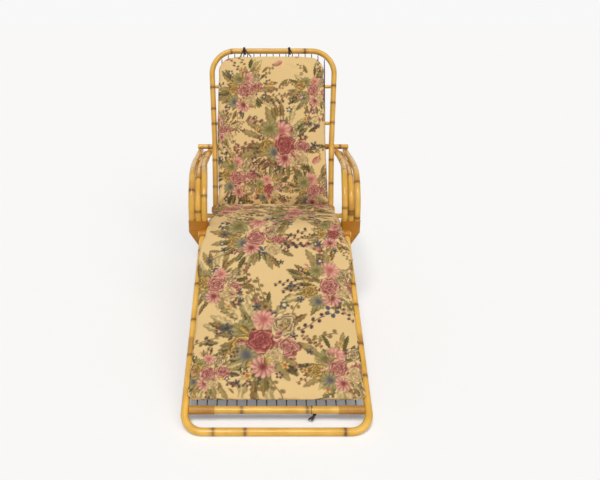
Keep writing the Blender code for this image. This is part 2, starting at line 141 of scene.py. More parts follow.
# Arms, from the knee hinge backwards
ARM_FRONT = 0.052
ARM_CORNER_HEIGHT = 0.592
ARM_FRONT_R = 0.140
ARM_INNER_HALF = 0.2735
ARM_PITCH = 0.0246
ARM_FLARE = 0.0205
ARM_TOP_PITCH = 0.0214
ARM_TOP_DROP = 0.0153
SNUG = 0.0004
ARM_END = BACK_HINGE_RUN + 0.180
REAR_FOOT = BACK_HINGE_RUN + 0.160
REAR_WRAP_END = BACK_HINGE_RUN + 0.118
REAR_WRAP_START = REAR_WRAP_END - 0.034
FRONT_STRETCHER_AT = (ARM_FRONT + STRETCHER_DROP * math.sin(SEAT_TILT)) / math.cos(SEAT_TILT)
FRONT_STRETCHER_HALF = ARM_INNER_HALF - ARM_R - CANE_WALL - 2 * SEAT_GAP
FLARE_FROM = 0.060
FLARE_TO = BACK_HINGE_RUN - 0.085
WRAP_TOP = 0.425
WRAP_WIDE = 0.375
WRAP_TIP = 0.295

X = np.array((1.0, 0.0, 0.0))
Y = np.array((0.0, 1.0, 0.0))
Z = np.array((0.0, 0.0, 1.0))
POLE_STEP = 0.0025
POLE_SIDES = 22
ARC_POINTS = 40
SPINDLE_STEP = 0.05
SPINDLE_SIDES = 10
STRIP = 0.0055
WIND_STEP = STRIP / 8
SIDES = (("left", -1), ("right", 1))

# Meshes
WELD = 1e-6
SLIVER = 1e-7
SHARP_ANGLE = math.radians(50)


def spot(x, y, z):
    return np.array((x, y, z), float)


def turned(points, angle, origin):
    """Points of a hinged frame, turned about X by the angle and carried to the hinge."""
    x, y, z = np.moveaxis(np.asarray(points, float), -1, 0)
    c, s = math.cos(angle), math.sin(angle)
    return np.stack([x, y * c - z * s, y * s + z * c], -1) + origin


def on_leg(points):
    return turned(points, LEG_SLOPE, KNEE)


def on_seat(points):
    return turned(points, -SEAT_TILT, KNEE)


def on_back(points):
    return turned(points, -RECLINE, BACK_HINGE)


def on_side(points):
    return np.asarray(points, float) + spot(0, KNEE[1], 0)


def unit(vectors):
    return vectors / np.linalg.norm(vectors, axis=-1, keepdims=True)


def smooth_step(low, high, value):
    t = np.clip((value - low) / (high - low), 0, 1)
    return t * t * (3 - 2 * t)


def lengths_along(path):
    steps = np.linalg.norm(np.diff(path, axis=0), axis=1)
    return np.concatenate([[0], np.cumsum(steps)])


def evenly(path, step):
    """The same line with points an even step apart."""
    s = lengths_along(path)
    count = max(int(round(s[-1] / step)), 2) + 1
    even = np.linspace(0, s[-1], count)
    return np.stack([np.interp(even, s, path[:, axis]) for axis in range(3)], 1)


def rounded_path(corners, step=POLE_STEP):
    """Straight runs through (point, radius) corners; a corner with a radius becomes an arc of it."""
    runs = [corners[0][0][None]]
    for (before, _), (corner, radius), (after, _) in zip(corners, corners[1:], corners[2:]):
        if not radius:
            runs.append(corner[None])
            continue
        back, ahead = unit(before - corner), unit(after - corner)
        half = math.acos(float(np.clip(back @ ahead, -1, 1))) / 2
        centre = corner + unit(back + ahead) * radius / math.sin(half)
        start = corner + back * radius / math.tan(half) - centre
        end = corner + ahead * radius / math.tan(half) - centre
        turn = math.pi - 2 * half
        t = np.linspace(0, 1, ARC_POINTS)[:, None]
        arc = start * np.sin((1 - t) * turn) + end * np.sin(t * turn)
        runs.append(centre + arc / math.sin(turn))
    runs.append(corners[-1][0][None])
    return evenly(np.concatenate(runs), step)


def rings_along(path, across):
    """Two directions square to the path at each point, the first as near to across as it can be."""
    along = unit(np.gradient(path, axis=0))
    u = unit(across - along * (along @ across)[:, None])
    return u, np.cross(along, u)


def grid_faces(rows, columns, first=0):
    """Quads between neighbouring rows of points, each row closed on itself."""
    i, j = np.meshgrid(np.arange(rows - 1), np.arange(columns), indexing="ij")
    i, j, k = i.ravel(), j.ravel(), (j.ravel() + 1) % columns
    corners = [i * columns + j, i * columns + k, (i + 1) * columns + k, (i + 1) * columns + j]
    return np.stack(corners, 1) + first


def set_attribute(mesh, name, kind, values):
    key = {"FLOAT": "value", "FLOAT_VECTOR": "vector", "FLOAT_COLOR": "color"}[kind]
    made = mesh.attributes.get(name) or mesh.attributes.new(name, kind, "POINT")
    made.data.foreach_set(key, np.ascontiguousarray(values, np.float32).ravel())


def surface(name, grids, material, attributes=()):
    """One object from grids of points; collapsed rows become closed tips and faces turn outwards."""
    points = np.concatenate([grid.reshape(-1, 3) for grid in grids])
    counts = [0, *np.cumsum([grid.shape[0] * grid.shape[1] for grid in grids])]
    quads = np.concatenate([grid_faces(*g.shape[:2], first) for g, first in zip(grids, counts)])
    mesh = bpy.data.meshes.new(name)
    mesh.vertices.add(len(points))
    mesh.vertices.foreach_set("co", points.astype(np.float32).ravel())
    mesh.loops.add(quads.size)
    mesh.loops.foreach_set("vertex_index", quads.astype(np.int32).ravel())
    mesh.polygons.add(len(quads))
    mesh.polygons.foreach_set("loop_start", np.arange(0, quads.size, 4, dtype=np.int32))
    mesh.update(calc_edges=True)
    for label, kind, values in attributes:
        set_attribute(mesh, label, kind, values)
    bm = bmesh.new()
    bm.from_mesh(mesh)
    bmesh.ops.remove_doubles(bm, verts=bm.verts, dist=WELD)
    bmesh.ops.dissolve_degenerate(bm, edges=bm.edges, dist=SLIVER)
    bmesh.ops.recalc_face_normals(bm, faces=bm.faces)
    bm.to_mesh(mesh)
    bm.free()
    mesh.shade_smooth()
    mesh.set_sharp_from_angle(angle=SHARP_ANGLE)
    mesh.materials.append(material)
    made = bpy.data.objects.new(name, mesh)
    bpy.context.scene.collection.objects.link(made)
    return made


def settle(piece, body, slot, *nodes):
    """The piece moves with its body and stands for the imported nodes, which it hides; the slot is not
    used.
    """
    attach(piece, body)
    if nodes:
        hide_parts(*nodes)
    return piece


def new_group(name, inputs, outputs):
    """An empty shader node group with named sockets: the group, its input and its output nodes."""
    group = bpy.data.node_groups.new(name, "ShaderNodeTree")
    for label, kind, value in inputs:
        socket = group.interface.new_socket(label, in_out="INPUT", socket_type=kind)
        if value is not None:
            socket.default_value = value
    for label, kind in outputs:
        group.interface.new_socket(label, in_out="OUTPUT", socket_type=kind)
    return group, group.nodes.new("NodeGroupInput"), group.nodes.new("NodeGroupOutput")


def add_node(tree, kind, **settings):
    node = tree.nodes.new(kind)
    for key, value in settings.items():
        setattr(node, key, value)
    return node


def calc(tree, operation, first, second):
    """A Math node; each operand is a socket or a number."""
    node = add_node(tree, "ShaderNodeMath", operation=operation)
    for socket, value in zip(node.inputs, (first, second)):
        if isinstance(value, (int, float)):
            socket.default_value = value
        else:
            tree.links.new(value, socket)
    return node.outputs[0]


def ranged(tree, value, low, high, to_low, to_high):
    node = add_node(tree, "ShaderNodeMapRange")
    tree.links.new(value, node.inputs["Value"])
    for label, number in zip(("From Min", "From Max", "To Min", "To Max"), (low, high, to_low, to_high)):
        node.inputs[label].default_value = number
    return node.outputs["Result"]


def tinted(tree, factor, first, second):
    """A colour mix; each colour is a socket or an RGB triple."""
    node = add_node(tree, "ShaderNodeMix", data_type="RGBA")
    tree.links.new(factor, node.inputs["Factor"])
    for socket, value in zip((node.inputs[6], node.inputs[7]), (first, second)):
        if isinstance(value, tuple):
            socket.default_value = (*value, 1)
        else:
            tree.links.new(value, socket)
    return node.outputs[2]


def noise(tree, vector, scale, detail):
    node = add_node(tree, "ShaderNodeTexNoise")
    node.inputs["Scale"].default_value = scale
    node.inputs["Detail"].default_value = detail
    tree.links.new(vector, node.inputs["Vector"])
    return node.outputs[0]


def make_fibre_group():
    """Fine streaks that run along the third axis of Grain: noise squeezed across and drawn out along."""
    inputs = [
        ("Grain", "NodeSocketVector", None),
        ("Across", "NodeSocketFloat", 700.0),
        ("Along", "NodeSocketFloat", 9.0),
    ]
    outputs = [("Streak", "NodeSocketFloat"), ("Mottle", "NodeSocketFloat")]
    group, given, result = new_group("fibre_streaks", inputs, outputs)
    parts = add_node(group, "ShaderNodeSeparateXYZ")
    group.links.new(given.outputs["Grain"], parts.inputs[0])
    drawn = add_node(group, "ShaderNodeCombineXYZ")
    for axis, label in enumerate(("Across", "Across", "Along")):
        scaled = calc(group, "MULTIPLY", parts.outputs[axis], given.outputs[label])
        group.links.new(scaled, drawn.inputs[axis])
    fine = noise(group, drawn.outputs[0], 1.0, 3.0)
    broad = noise(group, given.outputs["Grain"], 14.0, 4.0)
    group.links.new(ranged(group, fine, 0.3, 0.7, 0, 1), result.inputs["Streak"])
    group.links.new(ranged(group, broad, 0.32, 0.68, 0, 1), result.inputs["Mottle"])
    return group


def make_weave_group():
    """Plain weave from two crossing sine waves: threads change places like a chessboard's fields."""
    inputs = [("Cloth", "NodeSocketVector", None), ("Threads", "NodeSocketFloat", 900.0)]
    outputs = [("Height", "NodeSocketFloat"), ("Slub", "NodeSocketFloat")]
    group, given, result = new_group("plain_weave", inputs, outputs)
    parts = add_node(group, "ShaderNodeSeparateXYZ")
    group.links.new(given.outputs["Cloth"], parts.inputs[0])
    turn = calc(group, "MULTIPLY", given.outputs["Threads"], math.pi)
    waves = []
    for axis in (0, 1):
        phase = calc(group, "MULTIPLY", parts.outputs[axis], turn)
        waves.append(calc(group, "SINE", phase, 0.0))
    height = calc(group, "MULTIPLY", *waves)
    slub = noise(group, given.outputs["Cloth"], 160.0, 3.0)
    group.links.new(ranged(group, height, -1, 1, 0, 1), result.inputs["Height"])
    group.links.new(ranged(group, slub, 0.3, 0.7, 0, 1), result.inputs["Slub"])
    return group


FIBRE = make_fibre_group()
WEAVE = make_weave_group()


def start_material(name, roughness):
    material = bpy.data.materials.new(name)
    material.use_nodes = True
    shader = material.node_tree.nodes["Principled BSDF"]
    shader.inputs["Roughness"].default_value = roughness
    return material.node_tree, shader, material


def set_inputs(shader, values):
    for label, value in values.items():
        shader.inputs[label].default_value = value


def read_attribute(tree, name, output):
    return add_node(tree, "ShaderNodeAttribute", attribute_name=name).outputs[output]


def add_bump(tree, shader, height, strength, distance):
    bump = add_node(tree, "ShaderNodeBump")
    set_inputs(bump, {"Strength": strength, "Distance": distance})
    tree.links.new(height, bump.inputs["Height"])
    tree.links.new(bump.outputs[0], shader.inputs["Normal"])


def fibre_node(tree, across, along):
    node = add_node(tree, "ShaderNodeGroup", node_tree=FIBRE)
    set_inputs(node, {"Across": across, "Along": along})
    tree.links.new(read_attribute(tree, "grain", "Vector"), node.inputs["Grain"])
    return node.outputs["Streak"], node.outputs["Mottle"]


def weave_node(tree, threads, attribute):
    node = add_node(tree, "ShaderNodeGroup", node_tree=WEAVE)
    set_inputs(node, {"Threads": threads})
    tree.links.new(read_attribute(tree, attribute, "Vector"), node.inputs["Cloth"])
    return node.outputs["Height"], node.outputs["Slub"]


def skin(tree, shader, tone, vary, low, high):
    """The base colour, and a roughness from low to high that follows vary."""
    tree.links.new(tone, shader.inputs["Base Color"])
    tree.links.new(ranged(tree, vary, 0, 1, low, high), shader.inputs["Roughness"])


# Finishes: linear colours
GOLD = (0.88, 0.53, 0.105)
DEEP_GOLD = (0.66, 0.365, 0.050)
STREAK_BROWN = (0.42, 0.205, 0.025)
STAIN_BROWN = (0.31, 0.135, 0.028)
SCAR_BROWN = (0.150, 0.052, 0.010)
PITH = (0.50, 0.34, 0.16)
SLUB_TAN = (0.50, 0.34, 0.16)
THREAD_SHADE = (0.16, 0.10, 0.05)
TAPE_LIGHT = (0.040, 0.022, 0.016)
TAPE_DARK = (0.018, 0.011, 0.010)
BRASS = (0.33, 0.19, 0.06)
DULL_BRASS = (0.11, 0.055, 0.02)


def make_rattan():
    """Varnished pole: golden streaks, brown rings and stains at the joints, paler pith on cut ends."""
    tree, shader, material = start_material("rattan_pole", 0.3)
    streak, mottle = fibre_node(tree, 520.0, 7.0)
    tone = tinted(tree, mottle, GOLD, DEEP_GOLD)
    tone = tinted(tree, calc(tree, "MULTIPLY", streak, 0.45), tone, STREAK_BROWN)
    patchy = ranged(tree, streak, 0, 1, 1, 0.55)
    worn = calc(tree, "MULTIPLY", patchy, read_attribute(tree, "stain", "Fac"))
    tone = tinted(tree, worn, tone, STAIN_BROWN)
    broken = ranged(tree, mottle, 0, 1, 0.60, 1)
    ring = calc(tree, "MULTIPLY", broken, read_attribute(tree, "ring", "Fac"))
    tone = tinted(tree, ring, tone, SCAR_BROWN)
    tone = tinted(tree, read_attribute(tree, "cut_end", "Fac"), tone, PITH)
    skin(tree, shader, tone, mottle, 0.24, 0.40)
    set_inputs(shader, {"Specular IOR Level": 0.15, "Coat Weight": 0.3, "Coat Roughness": 0.12})
    add_bump(tree, shader, streak, 0.25, 0.0002)
    return material


def make_cane(name, light, dark, groove):
    """Split cane: satin strips with streaks along the winding, and painted shade that darkens the grooves
    between the turns; on the spindles the same dark colour marks the cut ends.
    """
    tree, shader, material = start_material(name, 0.42)
    streak, mottle = fibre_node(tree, 900.0, 30.0)
    tone = tinted(tree, streak, light, dark)
    tone = tinted(tree, calc(tree, "MULTIPLY", mottle, 0.35), tone, groove)
    # Painted shade: the grooves between the turns are darkened to the dark colour; on the spindles the
    # same mix darkens their cut ends.
    tone = tinted(tree, read_attribute(tree, "groove", "Fac"), tone, groove)
    skin(tree, shader, tone, streak, 0.34, 0.52)
    set_inputs(shader, {"Specular IOR Level": 0.3})
    add_bump(tree, shader, streak, 0.3, 0.0002)
    return material


def make_cloth():
    """Printed linen: the print's colours from the cloth itself, broken up by slubs, over a weave."""
    tree, shader, material = start_material("printed_linen", 0.88)
    height, slub = weave_node(tree, 800.0, "flat")
    tone = read_attribute(tree, "print", "Color")
    tone = tinted(tree, ranged(tree, slub, 0, 1, 0, 0.08), tone, SLUB_TAN)
    tone = tinted(tree, ranged(tree, height, 0, 1, 0.14, 0), tone, THREAD_SHADE)
    tree.links.new(tone, shader.inputs["Base Color"])
    set_inputs(shader, {"Sheen Weight": 0.02, "Sheen Roughness": 0.6, "Specular IOR Level": 0.05})
    add_bump(tree, shader, height, 0.5, 0.0004)
    return material


def make_tape():
    """Dark woven tape of the ties."""
    tree, shader, material = start_material("tie_tape", 0.8)
    height, slub = weave_node(tree, 1100.0, "grain")
    skin(tree, shader, tinted(tree, slub, TAPE_LIGHT, TAPE_DARK), height, 0.86, 0.7)
    add_bump(tree, shader, height, 0.5, 0.0003)
    return material


def make_nail():
    """Browned brass of the nail heads, in blotches."""
    tree, shader, material = start_material("nail_head", 0.4)
    _, mottle = fibre_node(tree, 900.0, 900.0)
    skin(tree, shader, tinted(tree, mottle, BRASS, DULL_BRASS), mottle, 0.3, 0.55)
    set_inputs(shader, {"Metallic": 0.8})
    return material


RATTAN = make_rattan()
CANE = make_cane("cane_binding", (0.64, 0.270, 0.022), (0.44, 0.165, 0.010), (0.16, 0.050, 0.005))
PALE_CANE = make_cane("pale_binding", (0.58, 0.305, 0.062), (0.43, 0.205, 0.032), (0.18, 0.075, 0.012))
SPINDLE = make_cane("dark_spindle", (0.115, 0.062, 0.045), (0.055, 0.028, 0.022), (0.03, 0.015, 0.012))
CLOTH = make_cloth()
TAPE = make_tape()
NAIL = make_nail()

# Joints, stains and cut ends of the poles
JOINT_SWELL = 0.0005
JOINT_SWELL_WIDTH = 0.0050
JOINT_GROOVE = 0.0004
JOINT_GROOVE_WIDTH = 0.0011
SCAR_WIDTH = 0.0032
SCAR_HALO = 0.55
SCAR_HALO_WIDTH = 0.0080
STAIN_EASE = 0.006
STAIN_FADE_BEFORE = 0.03
STAIN_FADE_AFTER = 0.01
RIM_WIDTH = 0.002
RIM_DROP = 0.0010
SKIN_INSET = 0.0002
GRAIN_APART = 2.37
POLE_NUMBERS = itertools.count(1)


def bell(offset, width):
    """A smooth bump of height 1."""
    return np.exp(-((offset / width) ** 2))


def pole_grid(path, radius, across, joints=(), stains=(), age=0.0, sides=POLE_SIDES, floor_end=False):
    """Circles carried along the path, closed at both cut ends.

    At each joint the radius swells by half a millimetre about a fine narrow dip, and the ring value
    marks the brown scar; stains are (from, to, strength) lengths of browner skin.
    """
    s = lengths_along(path)
    off = s[:, None] - np.array(joints, float).reshape(1, -1)
    swell = JOINT_SWELL * bell(off, JOINT_SWELL_WIDTH) - JOINT_GROOVE * bell(off, JOINT_GROOVE_WIDTH)
    scar = bell(off, SCAR_WIDTH) + SCAR_HALO * bell(off, SCAR_HALO_WIDTH)
    rim = np.clip(np.minimum(s, s[-1] - s) / RIM_WIDTH, 0, 1)
    r = radius - SKIN_INSET + swell.sum(1) - RIM_DROP * (1 - rim) ** 2
    stain = np.full_like(s, age)
    for start, end, strength in stains:
        fade = 1 - smooth_step(end - STAIN_FADE_BEFORE, end + STAIN_FADE_AFTER, s)
        stain += strength * smooth_step(start - STAIN_EASE, start + STAIN_EASE, s) * fade
    u, v = rings_along(path, across)
    along = np.cross(u, v)
    caps = [0, 0, *range(len(s)), -1, -1]
    r = np.concatenate([[0, r[0] / 2], r, [r[-1] / 2, 0]])
    a = 2 * np.pi * np.arange(sides) / sides
    out = np.cos(a)[None, :, None] * u[caps][:, None] + np.sin(a)[None, :, None] * v[caps][:, None]
    grid = path[caps][:, None] + r[:, None, None] * out
    if floor_end:
        lead = along[caps][:, None]
        below = np.minimum(grid[..., 2:], 0)
        last = np.arange(len(caps))[:, None, None] >= len(caps) - 3
        grid = grid - lead * np.where(last, grid[..., 2:], below) / lead[..., 2:]
    cut = np.zeros(len(caps))
    cut[[0, 1, -2, -1]] = 1
    far = np.repeat((s[caps] + GRAIN_APART * next(POLE_NUMBERS))[:, None], sides, 1)
    grain = np.stack([np.outer(r, np.cos(a)), np.outer(r, np.sin(a)), far], -1)
    each = {
        "ring": np.clip(scar.sum(1), 0, 1)[caps] * (1 - cut),
        "stain": np.clip(stain, 0, 1)[caps],
        "cut_end": cut,
    }
    values = {label: np.repeat(value, sides) for label, value in each.items()}
    values["grain"] = grain.reshape(-1, 3)
    return grid, values


def attributes_of(parts):
    """The values of several grids joined end to end, as attributes."""
    found = []
    for label in parts[0]:
        whole = np.concatenate([part[label] for part in parts])
        found.append((label, "FLOAT" if whole.ndim == 1 else "FLOAT_VECTOR", whole))
    return found


def joined(name, parts, material):
    """One object from (grid, values) pairs."""
    grids, values = zip(*parts)
    return surface(name, grids, material, attributes_of(values))


def pole(name, path, radius, across, body, joints, stains=(), age=0.0, floor_end=False):
    """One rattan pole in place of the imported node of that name."""
    part = pole_grid(path, radius, across, joints, stains, age, floor_end=floor_end)
    return settle(joined(name + "_stem", [part], RATTAN), body, "rattan", name)


def crossing(place, half, y, z):
    """The two ends of a line along X in one of the hinged frames."""
    return place([spot(-half, y, z), spot(half, y, z)])


def bar(name, place, half, y, z, radius, body, joints, stains=(), age=0.0):
    """A straight pole along X in one of the hinged frames."""
    path = evenly(crossing(place, half, y, z), POLE_STEP)
    return pole(name, path, radius, Z, body, joints, stains, age)


def leg_half(distance):
    return LEG_KNEE_HALF + (LEG_FOOT_HALF - LEG_KNEE_HALF) * distance / LEG_LENGTH


def post_half(up):
    low = POST_HINGE_HALF + (POST_WAIST_HALF - POST_HINGE_HALF) * up / POST_WAIST_UP
    rise = (up - POST_WAIST_UP) / (BACK_LENGTH - POST_WAIST_UP)
    high = POST_WAIST_HALF + (POST_TOP_HALF - POST_WAIST_HALF) * rise
    return np.where(np.asarray(up) < POST_WAIST_UP, low, high)


def mirrored(corners):
    """A bent frame: the corners of its left half, then the same ones in reverse on the right."""
    return corners + [(point * spot(-1, 1, 1), radius) for point, radius in reversed(corners)]


CROSSBAR_HALF = leg_half(CROSSBAR_AT) - POLE_R - SEAT_GAP
WAIST_BEND_R = 1.2
# Joints along the left run, about the middle and along the right run
LEG_JOINTS = (
    (0.085, 0.240, 0.392, 0.530),
    (-0.197, -0.098, 0.211),
    (0.130, 0.242, 0.330, 0.487, 0.606),
)
BACK_JOINTS = (
    (0.105, 0.226, 0.394, 0.464, 0.563),
    (-0.192, 0.145),
    (0.120, 0.228, 0.399, 0.492, 0.571),
)
# Stains as (share of the length, from there, to there, strength)
LEG_STAINS = (
    (0, 0.445, 0.520, 0.75),
    (0.5, -0.212, -0.192, 0.4),
    (1, -0.470, -0.425, 0.8),
    (1, -0.595, -0.570, 0.5),
)
BACK_STAINS = (
    (0, 0.375, 0.386, 0.7),
    (0, 0.55, 0.562, 0.6),
    (0.5, 0.143, 0.165, 0.6),
    (1, -0.39, -0.375, 0.7),
    (1, -0.555, -0.545, 0.6),
)
CROSSBAR_JOINTS = (-0.11, 0.096)
CROSSBAR_STAIN = (0.096, 0.118, 0.55)
SEAT_RAIL_FRONT = -0.013
SEAT_RAIL_REAR = SEAT_LENGTH + 0.125
SEAT_RAIL_JOINTS = {"left": (0.13, 0.29, 0.46), "right": (0.07, 0.24, 0.38, 0.52)}
KNEE_BAR_JOINTS = (0.09, 0.21, 0.37, 0.50)
BACK_BAR_JOINTS = (0.12, 0.27, 0.43)
ROD_JOINTS = (0.05, 0.24, 0.43, 0.655)
FRONT_STRETCHER_JOINTS = (0.11, 0.26, 0.41)
REAR_STRETCHER_JOINTS = (0.08, 0.23, 0.40, 0.57)
BACK_AGE = 0.16
ROD_AGE = 0.22
ARM_AGE = 0.18
ARM_STAIN = 0.4
ARM_STAIN_LENGTH = 0.05


def bent_pole(name, path, radius, across, body, joints, stains, age=0.0):
    """A frame's bent pole, with its joints and stains where the stem shows them."""
    total = lengths_along(path)[-1]
    start = EYE_R + SEAT_GAP
    left, middle, right = joints
    places = [d - start for d in left]
    places += [total / 2 + x for x in middle]
    places += [total - d + start for d in right]
    browned = []
    for share, low, high, strength in stains:
        browned.append((share * total + low, share * total + high, strength))
    pole(name, path, radius, across, body, places, browned, age)


def make_frames():
    """The bent poles of the leg rest and the back."""
    start = EYE_R + SEAT_GAP
    left = [
        (spot(-leg_half(start), -start, 0), 0),
        (spot(-LEG_FOOT_HALF, -LEG_LENGTH, 0), LEG_CORNER_R),
    ]
    path = on_leg(rounded_path(mirrored(left)))
    across = unit(on_leg(Z) - KNEE)
    bent_pole("leg_frame", path, POLE_R, across, "leg_rest", LEG_JOINTS, LEG_STAINS)
    left = [
        (spot(-post_half(start), 0, start), 0),
        (spot(-POST_WAIST_HALF, 0, POST_WAIST_UP), WAIST_BEND_R),
        (spot(-POST_TOP_HALF, 0, BACK_LENGTH), BACK_CORNER_R),
    ]
    path = on_back(rounded_path(mirrored(left)))
    across = unit(on_back(Y) - BACK_HINGE)
    bent_pole("back_frame", path, POST_R, across, "backrest", BACK_JOINTS, BACK_STAINS, BACK_AGE)


def make_bars():
    """The straight poles: hinge bars, crossbar, recline rod, seat rails and stretchers."""
    past_eye = EYE_WIDTH / 2 + BAR_PAST_EYE
    half = LEG_KNEE_HALF + past_eye
    bar("knee_hinge_bar", on_seat, half, 0, 0, POLE_R, "base", KNEE_BAR_JOINTS)
    half = POST_HINGE_HALF + past_eye
    bar("back_hinge_bar", on_seat, half, SEAT_LENGTH, 0, POLE_R, "base", BACK_BAR_JOINTS)
    joints = [CROSSBAR_HALF + x for x in CROSSBAR_JOINTS]
    low, high, strength = CROSSBAR_STAIN
    stains = [(CROSSBAR_HALF + low, CROSSBAR_HALF + high, strength)]
    bar("leg_crossbar", on_leg, CROSSBAR_HALF, -CROSSBAR_AT, 0, POST_R, "leg_rest", joints, stains)
    place = (on_back, ROD_HALF, ROD_BEHIND, ROD_UP)
    bar("recline_rod", *place, ROD_R, "backrest", ROD_JOINTS, age=ROD_AGE)
    for side, sign in SIDES:
        x = sign * SEAT_RAIL_HALF
        ends = [spot(x, y, -SEAT_RAIL_DROP) for y in (SEAT_RAIL_FRONT, SEAT_RAIL_REAR)]
        path = evenly(on_seat(ends), POLE_STEP)
        pole(f"seat_rail_{side}", path, POST_R, X, "base", SEAT_RAIL_JOINTS[side])
    rear_half = rear_leg_half() - ARM_R - SEAT_GAP
    stretchers = (
        ("front_stretcher", FRONT_STRETCHER_AT, FRONT_STRETCHER_HALF, FRONT_STRETCHER_JOINTS),
        ("rear_stretcher", REAR_STRETCHER_AT, rear_half, REAR_STRETCHER_JOINTS),
    )
    for name, y, half, joints in stretchers:
        bar(name, on_seat, half, y, -STRETCHER_DROP, STRETCHER_R, "base", joints)


def arm_slope():
    """Angle of the arm's top run, which passes just under the recline rod."""
    rod_y = BACK_HINGE_RUN + ROD_UP * math.sin(RECLINE) + ROD_BEHIND * math.cos(RECLINE)
    rod_z = BACK_HINGE_HEIGHT + ROD_UP * math.cos(RECLINE) - ROD_BEHIND * math.sin(RECLINE)
    run, rise = rod_y - ARM_FRONT, rod_z - ARM_CORNER_HEIGHT
    return math.atan2(rise, run) - math.asin((ROD_R + ARM_R + SEAT_GAP) / math.hypot(run, rise))


ARM_SLOPE = math.tan(arm_slope())


def arm_half(i, y):
    """Pole i's distance from the middle at y: side by side in front, spread and closer at the rear."""
    front = ARM_INNER_HALF + i * ARM_PITCH
    rear = ARM_INNER_HALF + ARM_FLARE + i * ARM_TOP_PITCH
    return front + (rear - front) * smooth_step(FLARE_FROM, FLARE_TO, y)


def arm_path(i, kind):
    """The pole's line on the right, from its front end over the arm; the middle one's top is lower."""
    drop = ARM_TOP_DROP if kind == "middle" else 0

    def top(y):
        return spot(0, y, ARM_CORNER_HEIGHT - drop + ARM_SLOPE * (y - ARM_FRONT))

    front_end = 0 if kind == "inner" else WRAP_WIDE + CANE_WALL
    corners = [(spot(0, ARM_FRONT, front_end), 0), (top(ARM_FRONT), ARM_FRONT_R - drop)]
    path = rounded_path(corners + [(top(ARM_END), 0)])
    path[:, 0] = arm_half(i, path[:, 1])
    return path


def rear_leg_half():
    """The rear leg's distance from the middle: outside the middle arm pole, under the outer one."""
    return float(arm_half(1, FLARE_TO)) + 2 * ARM_R + SEAT_GAP


def rear_leg_path():
    """The rear leg's line on the right, from just under the outer arm pole to the floor."""
    tilt_cos, tilt_sin = math.cos(SEAT_TILT), math.sin(SEAT_TILT)
    past_y = REAR_STRETCHER_AT * tilt_cos - STRETCHER_DROP * tilt_sin
    past_z = KNEE_HEIGHT - REAR_STRETCHER_AT * tilt_sin - STRETCHER_DROP * tilt_cos
    lean = (REAR_FOOT - past_y) / past_z
    meet_y = (REAR_FOOT - lean * (ARM_CORNER_HEIGHT - ARM_SLOPE * ARM_FRONT)) / (1 + lean * ARM_SLOPE)
    x = rear_leg_half()
    meet = spot(x, meet_y, ARM_CORNER_HEIGHT + ARM_SLOPE * (meet_y - ARM_FRONT))
    foot = spot(x, REAR_FOOT, 0)
    down = unit(foot - meet)
    cosine = abs(down @ unit(spot(0, 1, ARM_SLOPE)))
    clear = (ARM_R * (1 + cosine) + SEAT_GAP) / math.sqrt(1 - cosine**2)
    return evenly(np.array([meet + clear * down, foot]), POLE_STEP)


ARM_JOINTS = {
    "inner_left": (0.09, 0.245, 0.52, 0.705, 0.90),
    "middle_left": (0.085, 0.225, 0.37, 0.56),
    "outer_left": (0.045, 0.165, 0.30, 0.48, 0.66),
    "inner_right": (0.11, 0.27, 0.475, 0.66, 0.86),
    "middle_right": (0.075, 0.086, 0.25, 0.41, 0.60),
    "outer_right": (0.06, 0.20, 0.345, 0.52, 0.70),
}
REAR_LEG_JOINTS = {"left": (0.09, 0.27, 0.43), "right": (0.05, 0.21, 0.38)}


def make_arms():
    """Three poles a side, bowed outwards by a smooth step along the arm, and the rear leg under them."""
    for side, sign in SIDES:
        for i, kind in enumerate(("inner", "middle", "outer")):
            path = on_side(arm_path(i, kind) * spot(sign, 1, 1))
            name = f"arm_pole_{kind}_{side}"
            joints = ARM_JOINTS[f"{kind}_{side}"]
            stains = [(joints[1], joints[1] + ARM_STAIN_LENGTH, ARM_STAIN)]
            pole(name, path, ARM_R + SNUG, X, "base", joints, stains, age=ARM_AGE)
        path = on_side(rear_leg_path() * spot(sign, 1, 1))
        joints = REAR_LEG_JOINTS[side]
        pole(f"rear_leg_{side}", path, ARM_R, X, "base", joints, age=ARM_AGE, floor_end=True)


CANE_RIDGE = 0.0006
# How low on each turn's ridge the painted shade of the grooves between turns reaches
GROOVE_SHADE_SHARE = 0.5
GRAIN_REACH = 0.4
GRAIN_SHIFT = 3.1
WIND_SIDES = 44
WIDE_SIDES = 56


def winding(path, radius, across, run=0.0, sides=WIND_SIDES):
    """Cane wound on poles: a circle drawn out sideways by the run, with a rounded ridge for each turn.

    The ridge is half an ellipse across the strip and climbs by one strip each time round.
    """
    s = lengths_along(path)
    u, v = rings_along(path, across)
    a = 2 * np.pi * np.arange(sides) / sides
    turn = (s[:, None] / STRIP - a[None] / (2 * np.pi)) % 1
    bulge = np.sqrt(4 * turn * (1 - turn))
    run = np.broadcast_to(np.asarray(run, float), s.shape)
    reach = run[:, None] * np.clip(2 * np.cos(a), -1, 1)[None]
    wall = radius - CANE_RIDGE * (1 - bulge)
    inside = np.full_like(wall[:1], radius - CANE_WALL)
    rows = [0, *range(len(s)), -1, 0]
    wall = np.concatenate([inside, wall, inside, inside])
    side_way = (reach[rows] + wall * np.cos(a))[..., None] * u[rows][:, None]
    grid = path[rows][:, None] + side_way + (wall * np.sin(a))[..., None] * v[rows][:, None]
    # Painted shade: a mask that darkens the cane's colour in the grooves between the turns
    groove = np.clip(1 - bulge / GROOVE_SHADE_SHARE, 0, 1)[rows]
    round_it = radius * np.abs(a - np.pi)[None] + GRAIN_REACH * np.abs(reach[rows])
    along = np.repeat(s[rows][:, None], sides, 1)
    grain = np.stack([along, wall, round_it + GRAIN_SHIFT * path[0, 1]], -1)
    return grid, {"groove": groove.ravel(), "grain": grain.reshape(-1, 3)}


def lash(name, part, body, node, material=CANE):
    """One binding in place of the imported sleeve."""
    return settle(joined(name, [part], material), body, "cane", node)


